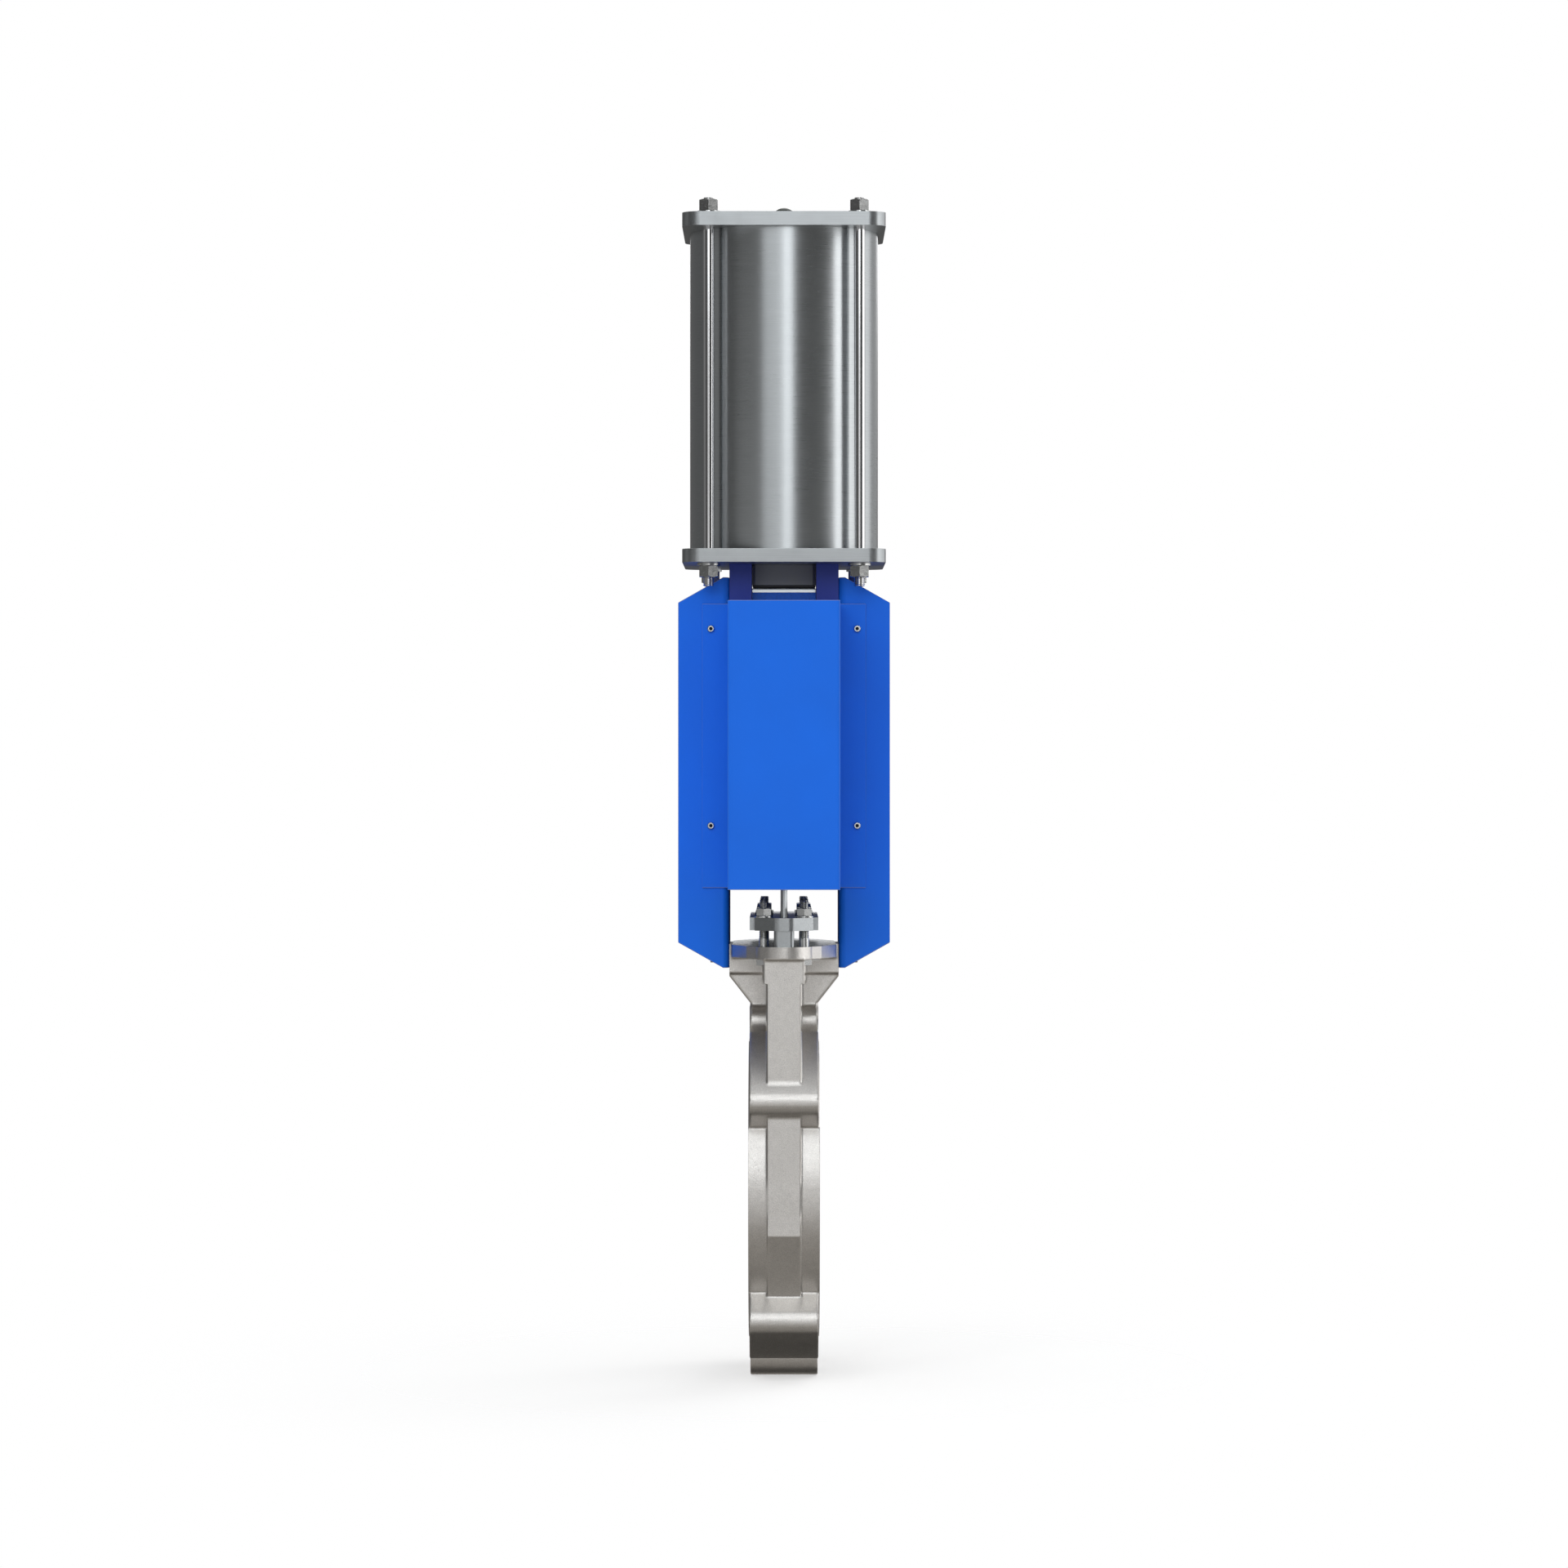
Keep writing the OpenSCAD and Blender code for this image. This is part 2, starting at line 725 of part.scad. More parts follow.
module tie_each(z) {
  for (x = [-tie_xy, tie_xy], y = [-tie_xy, tie_xy]) translate([x, y, z]) children();
}

module tie_rods() {
  z0 = head_z - tie_washer_t - tie_nut_h - 8;
  z1 = upper_top + tie_washer_t + tie_nut_h + 1.6;
  color(steel_c) tie_each(z0) {
    translate([0, 0, 0.8]) cylinder(d = tie_d, h = z1 - z0 - 1.6);
    cylinder(r1 = tie_d / 2 - 0.8, r2 = tie_d / 2, h = 0.8);
    translate([0, 0, z1 - z0 - 0.8]) cylinder(r1 = tie_d / 2, r2 = tie_d / 2 - 0.8, h = 0.8);
  }
}

module tie_rod_washers() {
  color(steel_c) {
    tie_each(upper_top) ring(tie_d / 2 + 0.2, tie_d, tie_washer_t);
    tie_each(head_z - tie_washer_t) ring(tie_d / 2 + 0.2, tie_d, tie_washer_t);
  }
}

module tie_rod_nuts() {
  r = tie_d / 2 + thread_gap;
  color(steel_c) {
    tie_each(upper_top + tie_washer_t) rotate(30) hex_nut(tie_nut_af, tie_nut_h, r);
    tie_each(head_z - tie_washer_t - tie_nut_h) rotate(30) hex_nut(tie_nut_af, tie_nut_h, r);
  }
}

module top_plug() {
  color(dark_c) translate([0, 0, upper_top]) {
    intersection() {
      sphere(r = dome_r);
      cylinder(r = dome_r + 1, h = dome_r + 1);
    }
    translate([0, 0, -head_t]) cylinder(r = plug_r - thread_gap, h = head_t + 1);
  }
}

// Moving parts

module piston() {
  r = bore_r - 0.08;
  color(steel_c) translate([0, 0, piston_z]) difference() {
    cylinder(r = r, h = piston_t);
    translate([0, 0, -1]) cylinder(r = rod_neck_r + run_gap, h = piston_t + 2);
    for (z = [4, piston_t - 9]) translate([0, 0, z]) ring(r - 6, r + 1, 5);
    translate([0, 0, piston_t / 2 - 3.5]) ring(r - 2.5, r + 1, 7);
  }
}

module piston_seals() {
  color(black_c) for (z = [4, piston_t - 9])
    translate([0, 0, piston_z + z]) ring(bore_r - 6.08, bore_r - 0.03, 5);
}

module piston_wear_ring() {
  color(white_c) translate([0, 0, piston_z + piston_t / 2 - 3.5])
    ring(bore_r - 2.58, bore_r - 0.05, 7);
}

module piston_rod() {
  color(steel_c) {
    translate([0, 0, coupling_z1]) cylinder(r = rod_r, h = piston_z - coupling_z1);
    translate([0, 0, coupling_z1 - 26]) cylinder(r = rod_thread_r, h = 27);
    translate([0, 0, piston_z - 1]) cylinder(r = rod_neck_r, h = piston_t + piston_nut_h + 3);
  }
}

module piston_nut() {
  color(steel_c) translate([0, 0, piston_top]) hex_nut(30, piston_nut_h, rod_neck_r + thread_gap);
}

module coupling() {
  c = coupling_bevel_h;
  c2 = coupling_bevel_in;
  color(steel_c) difference() {
    intersection() {
      translate([-coupling_x, -coupling_y, coupling_z0])
        cube([2 * coupling_x, 2 * coupling_y, coupling_z1 - coupling_z0]);
      along_x(3 * coupling_x) polygon([
        [-coupling_y, coupling_z0], [coupling_y, coupling_z0], [coupling_y, coupling_z1 - c],
        [coupling_y - c2, coupling_z1], [-coupling_y + c2, coupling_z1],
        [-coupling_y, coupling_z1 - c]
      ]);
    }
    translate([-gate_t / 2 - run_gap, -2 * coupling_y, coupling_z0 - 1])
      cube([gate_t + 2 * run_gap, 4 * coupling_y, slot_h + 1]);
    translate([0, 0, coupling_z1 - 26]) cylinder(r = rod_thread_r + thread_gap, h = 40);
    for (y = [-pin_y, pin_y]) translate([0, y, pin_z])
      x_cyl(pin_d / 2 + bolt_gap / 2, -2 * coupling_x, 2 * coupling_x);
  }
}

module pin_each(x) {
  for (y = [-pin_y, pin_y]) translate([x, y, pin_z]) rotate([0, 90, 0]) rotate(30) children();
}

module coupling_bolts() {
  w = 2.5;
  color(steel_c) pin_each(-coupling_x - w) {
    translate([0, 0, -7.5]) hex(pin_head_af, 7.5);
    translate([0, 0, -eps]) cylinder(d = pin_d, h = 2 * coupling_x + 2 * w + pin_nut_h + 1.5);
  }
}

module coupling_washers() {
  color(steel_c) {
    pin_each(-coupling_x - 2.5) ring(pin_d / 2 + 0.2, 12, 2.5);
    pin_each(coupling_x) ring(pin_d / 2 + 0.2, 12, 2.5);
  }
}

module coupling_nuts() {
  color(steel_c) pin_each(coupling_x + 2.5) hex_nut(pin_head_af, pin_nut_h, pin_d / 2 + thread_gap);
}

module gate() {
  color(steel_c) difference() {
    along_x(gate_t) {
      translate([0, gate_arc_z]) circle(d = gate_w, $fn = 180);
      translate([-gate_w / 2, gate_arc_z]) square([gate_w, gate_z1 - gate_arc_z]);
    }
    for (y = [-pin_y, pin_y]) translate([0, y, pin_z])
      x_cyl(pin_d / 2 + bolt_gap / 2, -2 * coupling_x, 2 * coupling_x);
  }
}

body();
seat_seal();
seat_retainer();
gate_guides();
packing_rings();
gland_follower();
gland_bolts();
gland_washers();
gland_nuts();
yoke_plate_left();
yoke_plate_right();
yoke_studs();
yoke_washers();
yoke_spring_washers();
yoke_nuts();
guard_front();
guard_rear();
guard_screws();
head_blocks();
block_screws();
lower_head();
rod_guide();
guide_screws();
rod_bush();
rod_seal();
rod_wiper();
cylinder_tube();
tube_gaskets();
tie_rods();
tie_rod_washers();
tie_rod_nuts();
upper_head();
top_plug();
piston();
piston_seals();
piston_wear_ring();
piston_rod();
piston_nut();
coupling();
coupling_bolts();
coupling_washers();
coupling_nuts();
gate();
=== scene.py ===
"""Looks of a pneumatic knife gate valve, built round its packed frame."""

import math

import bmesh
import bpy
import numpy as np
from bpy.props import FloatProperty, FloatVectorProperty, IntProperty, PointerProperty
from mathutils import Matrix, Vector


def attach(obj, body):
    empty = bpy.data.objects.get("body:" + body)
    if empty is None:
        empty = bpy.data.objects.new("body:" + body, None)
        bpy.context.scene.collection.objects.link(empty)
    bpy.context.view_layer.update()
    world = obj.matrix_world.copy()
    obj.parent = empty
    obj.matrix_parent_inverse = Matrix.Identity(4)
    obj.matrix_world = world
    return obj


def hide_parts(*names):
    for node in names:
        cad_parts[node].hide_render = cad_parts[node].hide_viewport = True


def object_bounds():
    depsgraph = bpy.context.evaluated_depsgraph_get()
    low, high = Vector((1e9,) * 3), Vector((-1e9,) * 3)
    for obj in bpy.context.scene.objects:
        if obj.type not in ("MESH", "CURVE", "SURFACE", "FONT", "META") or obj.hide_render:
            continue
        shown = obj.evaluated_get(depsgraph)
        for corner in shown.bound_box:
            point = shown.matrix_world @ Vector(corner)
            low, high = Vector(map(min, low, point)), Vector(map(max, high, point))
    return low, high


bl_info = {
    "name": "Knife gate valve",
    "version": (1, 0, 0),
    "blender": (4, 5, 0),
    "location": "View3D > Sidebar > Valve",
    "description": "Casting, sheet metal, fasteners and finishes of a knife gate valve",
    "category": "Object",
}

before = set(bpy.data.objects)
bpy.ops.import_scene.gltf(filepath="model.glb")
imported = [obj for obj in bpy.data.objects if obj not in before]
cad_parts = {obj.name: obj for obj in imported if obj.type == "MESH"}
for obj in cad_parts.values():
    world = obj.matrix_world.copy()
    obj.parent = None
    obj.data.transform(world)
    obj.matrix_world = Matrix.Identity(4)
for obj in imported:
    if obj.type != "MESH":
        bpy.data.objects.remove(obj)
cad_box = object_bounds()
MM = 0.001
FIXED = "valve"
MOVING = "gate_assembly"

# Casting, in millimetres. Blank sizes are those before machining.

BORE_R = 100
FACE_R = 131.5
FACE_X = 31
BLANK_FACE_X = 32.5
RIM_R = 165.0
RIM_NOSE_R = 14.0
RIM_X = 30
UPPER_RIM = (33.3, 59.5)
LOWER_RIM = (45.9, 60.5)
BOLT_CIRCLE_R = 147.5
RIM_HOLE_TURN = 45
LUG_TURN = 75
LUG_R = 19.5
LUG_X = 29.5
LUG_ROOT = -40
RIB_Y = 132
RIB_X = 14.4
COLLAR_X = 17.6
COLLAR_Z = 184.7
NECK_Z = 205.7
NECK_TOP = 216.8
BLANK_NECK_TOP = 219
EAR_X = 48
BLANK_EAR_X = 49.5
EAR_Z = 190.9
PAD_HALF = 16
WEB_HALF = 12
HOLE_R = 10
HOLE_PITCH = 2.5

# Gland, yoke, guards, cylinder and gate, in millimetres

GLAND_STEP = 56.0
GLAND_X = 17.6
GLAND_BOLT_R = 4
POCKET_Z = 199.9
STUD_Y = (-32, 32)
STUD_Z = (208.4, 522)
STUD_R = 4.97
YOKE_X = (48, 93)
YOKE_Y = 50
YOKE_Z = (196.1, 539.2)
YOKE_SHEET = 4
GUARD_X = (48.5, 71.8)
GUARD_Y = 150
GUARD_Z = (266.5, 515.8)
GUARD_SHEET = 1.5
SCREW_X = 64.2
SCREW_Z = (321.0, 493.9)
TIE_ROD_XY = (-66, 66)
TIE_ROD_R = 5
TIE_ROD_Z = (530.6, 870.6)
COUPLING_BARE_Z = 526.5
GATE_X = 3
GATE_R = 118
GATE_ARC_Z = 223
GATE_TOP = 500
PIN_Y = (-14, 14)
PIN_Z = 486
PIN_HOLE_R = 6.2


def linear(r, g, b):
    """A colour as it looks on screen, from 0 to 255, as scene-linear values."""
    def channel(c):
        c = c / 255
        return c / 12.92 if c <= 0.04045 else ((c + 0.055) / 1.055) ** 2.4
    return (channel(r), channel(g), channel(b))


# Settings


class CastingSettings(bpy.types.PropertyGroup):
    """Sizes of the cast body's skin."""

    fillet: FloatProperty(
        name="Fillet", description="How far the foundry fillets blend at the housing's foot",
        default=0.0018, min=0.001, max=0.02, unit="LENGTH")
    edge: FloatProperty(
        name="Edge radius", description="Radius on the casting's outer edges",
        default=0.0008, min=0.0004, max=0.005, unit="LENGTH")
    fineness: FloatProperty(
        name="Fineness", description="Spacing of the points on the cast skin",
        default=0.0009, min=0.0008, max=0.004, unit="LENGTH")
    colour: FloatVectorProperty(
        name="Cast steel", description="Colour of the blasted cast stainless steel",
        default=linear(213, 210, 206), min=0, max=1, subtype="COLOR")


class SheetSettings(bpy.types.PropertyGroup):
    """Folds and coating of the blue sheet metal."""

    yoke_fold: FloatProperty(
        name="Yoke fold", description="Fold radius of the yoke plates, at mid sheet",
        default=0.0045, min=0.002, max=0.01, unit="LENGTH")
    guard_fold: FloatProperty(
        name="Guard fold", description="Fold radius of the guards, at mid sheet",
        default=0.0022, min=0.001, max=0.006, unit="LENGTH")
    coating: FloatVectorProperty(
        name="Blue coating", description="Colour of the powder coating",
        default=linear(16, 100, 216), min=0, max=1, subtype="COLOR")
    # Blue paint darkened to paint in the shade under the lower head: painted shade in the head blocks'
    # colour.
    block_paint: FloatVectorProperty(
        name="Block paint", description="Colour of the dark paint on the head blocks",
        default=linear(42, 60, 150), min=0, max=1, subtype="COLOR")


class SteelSettings(bpy.types.PropertyGroup):
    """Machined steel, rods and fasteners."""

    steel: FloatVectorProperty(
        name="Machined steel", description="Colour of turned, ground and brushed stainless",
        default=linear(193, 197, 199), min=0, max=1, subtype="COLOR")
    fastener: FloatVectorProperty(
        name="Fastener steel", description="Colour of nuts, bolts and washers",
        default=linear(204, 205, 204), min=0, max=1, subtype="COLOR")
    edge_break: FloatProperty(
        name="Edge break", description="Width of the broken edges on machined pieces",
        default=0.0005, min=0.0001, max=0.0015, unit="LENGTH")
    gate_bevel: FloatProperty(
        name="Gate bevel", description="Width of the bevel ground round the gate",
        default=0.0022, min=0.0005, max=0.0028, unit="LENGTH")
    gland_pitch: FloatProperty(
        name="Gland bolt pitch", description="Thread pitch of the gland bolts",
        default=0.00125, min=0.0005, max=0.002, unit="LENGTH")
    tie_pitch: FloatProperty(
        name="Tie rod pitch", description="Thread pitch of the tie rods and yoke studs",
        default=0.0015, min=0.0005, max=0.0025, unit="LENGTH")
    around: IntProperty(
        name="Thread sides", description="Number of sides round each thread",
        default=28, min=12, max=64)


class StageSettings(bpy.types.PropertyGroup):
    """Camera, floor and lamps."""

    distance: FloatProperty(
        name="Camera distance", description="From the camera to the middle of the valve",
        default=4.783, min=1, max=20, unit="LENGTH")
    height: FloatProperty(
        name="Camera height", description="Height of the camera above the bore centre",
        default=0.3576, min=-1, max=3, unit="LENGTH")
    lens: FloatProperty(
        name="Focal length", description="Focal length of the camera in millimetres",
        default=123.75, min=20, max=300)
    lamp: FloatProperty(
        name="Lamp level", description="Share of the studio's usual lamp power",
        default=1.0, min=0, max=3)
    fill: FloatProperty(
        name="Fill level", description="Soft light that reaches the valve from all round",
        default=0.7, min=0, max=2)


# Finishes


def feed(tree, target, value):
    """Gives an input a plain value, or links another node's output to it."""
    if isinstance(value, bpy.types.NodeSocket):
        tree.links.new(value, target)
    elif target.type == "RGBA" and len(value) == 3:
        target.default_value = (*value, 1.0)
    else:
        target.default_value = value


def node_adder(tree):
    """A function that adds a node to a tree, with its inputs and settings, and returns its outputs."""
    def add(kind, inputs=None, **settings):
        made = tree.nodes.new(kind)
        for key, value in settings.items():
            setattr(made, key, value)
        for key, value in (inputs or {}).items():
            feed(tree, made.inputs[key], value)
        return made.outputs
    return add


def fresh_tree(owner):
    """The node tree of a material or world, emptied."""
    owner.use_nodes = True
    owner.node_tree.nodes.clear()
    return owner.node_tree


class Finish:
    """One material's node tree, which ends in a Principled shader."""

    def __init__(self, name, **constants):
        self.mat = bpy.data.materials.new(name)
        self.tree = fresh_tree(self.mat)
        self.add = node_adder(self.tree)
        self.shader = self.tree.nodes.new("ShaderNodeBsdfPrincipled")
        self.add("ShaderNodeOutputMaterial", {"Surface": self.shader.outputs[0]})
        self.point = self.add("ShaderNodeTexCoord")["Object"]
        for socket, value in constants.items():
            self.set(socket.replace("_", " "), value)

    def set(self, socket, value):
        feed(self.tree, self.shader.inputs[socket], value)

    def math(self, operation, a, b=0.0):
        return self.add("ShaderNodeMath", {0: a, 1: b}, operation=operation)[0]

    def stretched(self, x, y, z):
        return self.add("ShaderNodeMapping", {"Vector": self.point, "Scale": (x, y, z)})[0]

    def split(self):
        return self.add("ShaderNodeSeparateXYZ", {0: self.point})

    def joined(self, x, y, z):
        return self.add("ShaderNodeCombineXYZ", {0: x, 1: y, 2: z})[0]

    def noise(self, vector, scale, detail=2.0, roughness=0.5):
        return self.add("ShaderNodeTexNoise", {
            "Vector": vector, "Scale": scale, "Detail": detail, "Roughness": roughness})[0]

    def pits(self, vector, scale, size):
        cells = self.add("ShaderNodeTexVoronoi", {"Vector": vector, "Scale": scale})
        return self.band(cells["Distance"], 0.0, size, 0.0, 1.0)

    def band(self, value, low, high, to_low, to_high):
        return self.add("ShaderNodeMapRange", {
            "Value": value, "From Min": low, "From Max": high, "To Min": to_low, "To Max": to_high,
        }, clamp=True)[0]

    def blend(self, share, a, b):
        return self.add("ShaderNodeMix", {0: share, 6: a, 7: b}, data_type="RGBA")[2]

    def mottle(self, noise, colour, dark, light, low=0.3, high=0.7):
        return self.blend(self.band(noise, low, high, 0, 1), shade(colour, dark), shade(colour, light))

    def relief(self, height, depth, below=None, strength=1.0):
        inputs = {"Distance": depth, "Strength": strength, "Height": height}
        if below is not None:
            inputs["Normal"] = below
        return self.add("ShaderNodeBump", inputs)[0]


def shade(colour, k):
    """The same colour, k times as bright."""
    return tuple(min(1.0, c * k) for c in colour)


def cast_skin():
    """Blasted sand-cast stainless: fine grain, shallow pits and soft lumps."""
    colour = tuple(bpy.context.scene.valve_casting.colour)
    f = Finish("cast_stainless_skin", Metallic=1.0)
    p = f.stretched(1, 1, 1)
    grain = f.noise(p, 900, 3, 0.62)
    lumps = f.noise(p, 190, 3, 0.55)
    slow = f.noise(p, 26, 2, 0.5)
    pits = f.pits(p, 420, 0.24)
    speckle = f.noise(p, 1350, 2, 0.6)
    # Convex edges, found by pointiness, are drawn lighter and a little smoother.
    convex_edges = f.band(f.add("ShaderNodeNewGeometry")["Pointiness"], 0.46, 0.56, 0.0, 1.0)
    tone = f.mottle(lumps, colour, 0.92, 1.06)
    tone = f.blend(f.band(slow, 0.35, 0.65, 0, 0.35), tone, shade(colour, 0.92))
    tone = f.blend(f.band(speckle, 0.34, 0.46, 0.5, 0.0), tone, shade(colour, 0.62))
    tone = f.blend(f.band(speckle, 0.54, 0.66, 0.0, 0.5), tone, shade(colour, 1.3))
    tone = f.blend(f.math("MULTIPLY", convex_edges, 0.55), tone, shade(colour, 1.16))
    f.set("Base Color", tone)
    f.set("Roughness", f.math("ADD", f.band(grain, 0.3, 0.7, 0.33, 0.44), f.math("MULTIPLY", convex_edges, -0.06)))
    n = f.relief(slow, 0.0006, strength=0.25)
    n = f.relief(lumps, 0.00014, n, 0.45)
    n = f.relief(grain, 0.00016, n, 0.75)
    f.set("Normal", f.relief(pits, 0.00012, n, 0.45))
    return f.mat


def turned_face():
    """Machined surfaces of the casting: fine turning rings round the bore."""
    colour = tuple(bpy.context.scene.valve_steel.steel)
    f = Finish("turned_stainless", Metallic=1.0)
    x, y, z = f.split()
    radius = f.math("SQRT", f.math("ADD", f.math("MULTIPLY", y, y), f.math("MULTIPLY", z, z)))
    ring_gap = 0.0009
    rings = f.math("SINE", f.math("MULTIPLY", radius, 2 * math.pi / ring_gap))
    smear = f.noise(f.joined(f.math("MULTIPLY", radius, 900.0), x, 0.0), 1.0, 3, 0.6)
    stain = f.noise(f.stretched(1, 1, 1), 60, 3, 0.6)
    tone = f.mottle(smear, colour, 0.82, 1.03)
    f.set("Base Color", f.blend(f.band(stain, 0.5, 0.75, 0, 0.3), tone, shade(colour, 0.78)))
    f.set("Roughness", f.band(smear, 0.3, 0.7, 0.20, 0.34))
    f.set("Normal", f.relief(f.math("ADD", f.math("MULTIPLY", rings, 0.5), smear), 0.00003, strength=0.6))
    return f.mat


def streaked_steel(name, stretch, colour, low=0.20, high=0.34, depth=0.00002, dirt=0.25):
    """Brushed or ground steel. The streaks run along the axis with the small stretch."""
    f = Finish(name, Metallic=1.0)
    fine = f.noise(f.stretched(*[s * 2.1 for s in stretch]), 1.0, 3, 0.7)
    broad = f.noise(f.stretched(*[s * 0.21 for s in stretch]), 1.0, 2, 0.5)
    smudge = f.noise(f.stretched(1, 1, 1), 38, 4, 0.6)
    tone = f.mottle(fine, colour, 0.84, 1.06, 0.25, 0.75)
    tone = f.blend(f.band(broad, 0.35, 0.65, 0, 0.35), tone, shade(colour, 0.92))
    f.set("Base Color", f.blend(f.band(smudge, 0.5, 0.8, 0, dirt), tone, shade(colour, 0.8)))
    rough = f.math("ADD", f.band(fine, 0.25, 0.75, low, high), f.band(smudge, 0.45, 0.8, 0.0, 0.06))
    f.set("Roughness", rough)
    f.set("Normal", f.relief(fine, depth, strength=0.5))
    return f.mat


def honed_tube():
    """The cylinder tube: drawn steel, polished round and round with a fine belt."""
    colour = tuple(bpy.context.scene.valve_steel.steel)
    f = Finish("belt_polished_tube", Metallic=1.0, Anisotropic=0.72, Anisotropic_Rotation=0.25)
    x, y, z = f.split()
    turn = f.math("ARCTAN2", y, x)
    fine = f.noise(f.joined(f.math("MULTIPLY", turn, 3.2), 0.0, f.math("MULTIPLY", z, 2600.0)), 1.0, 3, 0.75)
    broad = f.noise(f.joined(f.math("MULTIPLY", turn, 1.6), 0.0, f.math("MULTIPLY", z, 210.0)), 1.0, 3, 0.6)
    cloud = f.noise(f.stretched(1, 1, 1), 12, 3, 0.55)
    tone = f.mottle(fine, colour, 0.80, 1.04, 0.25, 0.75)
    tone = f.blend(f.band(broad, 0.3, 0.7, 0, 0.5), tone, shade(colour, 0.86))
    f.set("Base Color", f.blend(f.band(cloud, 0.4, 0.7, 0, 0.2), tone, shade(colour, 0.9)))
    f.set("Roughness", f.math("ADD", f.band(fine, 0.25, 0.75, 0.24, 0.36), f.band(cloud, 0.4, 0.7, 0, 0.03)))
    f.set("Normal", f.relief(fine, 0.000012, strength=0.5))
    f.set("Tangent", f.add("ShaderNodeTangent", direction_type="RADIAL", axis="Z")[0])
    return f.mat


def powder_coat(name, colour, rough=0.5):
    """Baked powder coating: orange peel, slight gloss changes, pale specks and scuffs."""
    f = Finish(name, Metallic=0.0, Coat_Weight=0.06, Coat_Roughness=0.2, Specular_IOR_Level=0.22)
    p = f.stretched(1, 1, 1)
    peel = f.noise(p, 620, 2, 0.5)
    speck = f.noise(p, 1900, 2, 0.6)
    drift = f.noise(p, 9, 3, 0.55)
    scuff = f.noise(f.stretched(30, 30, 4), 4.0, 4, 0.7)
    tone = f.mottle(drift, colour, 0.93, 1.05)
    tone = f.blend(f.band(speck, 0.62, 0.8, 0, 0.12), tone, shade(colour, 1.5))
    f.set("Base Color", f.blend(f.band(scuff, 0.66, 0.8, 0, 0.16), tone, shade(colour, 1.35)))
    f.set("Roughness", f.math("ADD", f.band(drift, 0.3, 0.7, rough - 0.04, rough + 0.06),
                              f.band(scuff, 0.6, 0.8, 0, 0.08)))
    n = f.relief(peel, 0.00004, strength=0.35)
    f.set("Normal", f.relief(speck, 0.00001, n, 0.3))
    return f.mat


def coated_block(steel, coating):
    """The coupling: a blue-coated block whose bevelled top is ground bare."""
    f = Finish("coated_coupling", Coat_Weight=0.06, Specular_IOR_Level=0.3)
    bare = f.math("GREATER_THAN", f.split()[2], COUPLING_BARE_Z * MM)
    peel = f.noise(f.stretched(1, 1, 1), 620, 2, 0.5)
    lines = f.noise(f.stretched(20, 20, 900), 1.0, 3, 0.6)
    metal = f.mottle(lines, steel, 0.9, 1.08)
    paint = f.mottle(peel, coating, 0.85, 1.05)
    f.set("Base Color", f.blend(bare, paint, metal))
    f.set("Metallic", bare)
    f.set("Roughness", f.band(bare, 0.0, 1.0, 0.42, 0.3))
    f.set("Normal", f.relief(peel, 0.00003, strength=0.4))
    return f.mat


def socket_screws(colour):
    """The guards' button screws: bright heads, with painted shade as a dark disc over the hexagon socket."""
    f = Finish("socket_screw_steel", Metallic=1.0)
    x, y, z = f.split()
    across = f.math("SUBTRACT", f.math("ABSOLUTE", x), SCREW_X * MM)
    up = f.math("MINIMUM", *[f.math("ABSOLUTE", f.math("SUBTRACT", z, h * MM)) for h in SCREW_Z])
    away = f.math("SQRT", f.math("ADD", f.math("MULTIPLY", across, across), f.math("MULTIPLY", up, up)))
    socket_shade_r = 0.00135
    # Painted shade: a dark, rougher disc where the hexagon socket lies, in place of the shade inside the
    # recess.
    socket = f.band(away, socket_shade_r, socket_shade_r + 0.00035, 1.0, 0.0)
    fine = f.noise(f.stretched(1, 1, 1), 900, 3, 0.6)
    tone = f.mottle(fine, colour, 0.9, 1.08)
    f.set("Base Color", f.blend(socket, tone, linear(48, 48, 52)))
    f.set("Roughness", f.math("ADD", f.band(fine, 0.3, 0.7, 0.22, 0.32), f.math("MULTIPLY", socket, 0.3)))
    f.set("Normal", f.relief(fine, 0.00001, strength=0.4))
    return f.mat


def moulded(name, colour, rough, grain, depth=0.00004, sheen=0.0):
    """Rubber, plastic or sealing cord with a fine moulded grain."""
    f = Finish(name, Sheen_Weight=sheen)
    p = f.stretched(1, 1, 1)
    fine = f.noise(p, grain, 3, 0.6)
    slow = f.noise(p, 45, 3, 0.6)
    f.set("Base Color", f.mottle(slow, colour, 0.82, 1.15))
    f.set("Roughness", f.band(fine, 0.3, 0.7, rough - 0.07, rough + 0.08))
    f.set("Normal", f.relief(fine, depth, strength=0.5))
    return f.mat


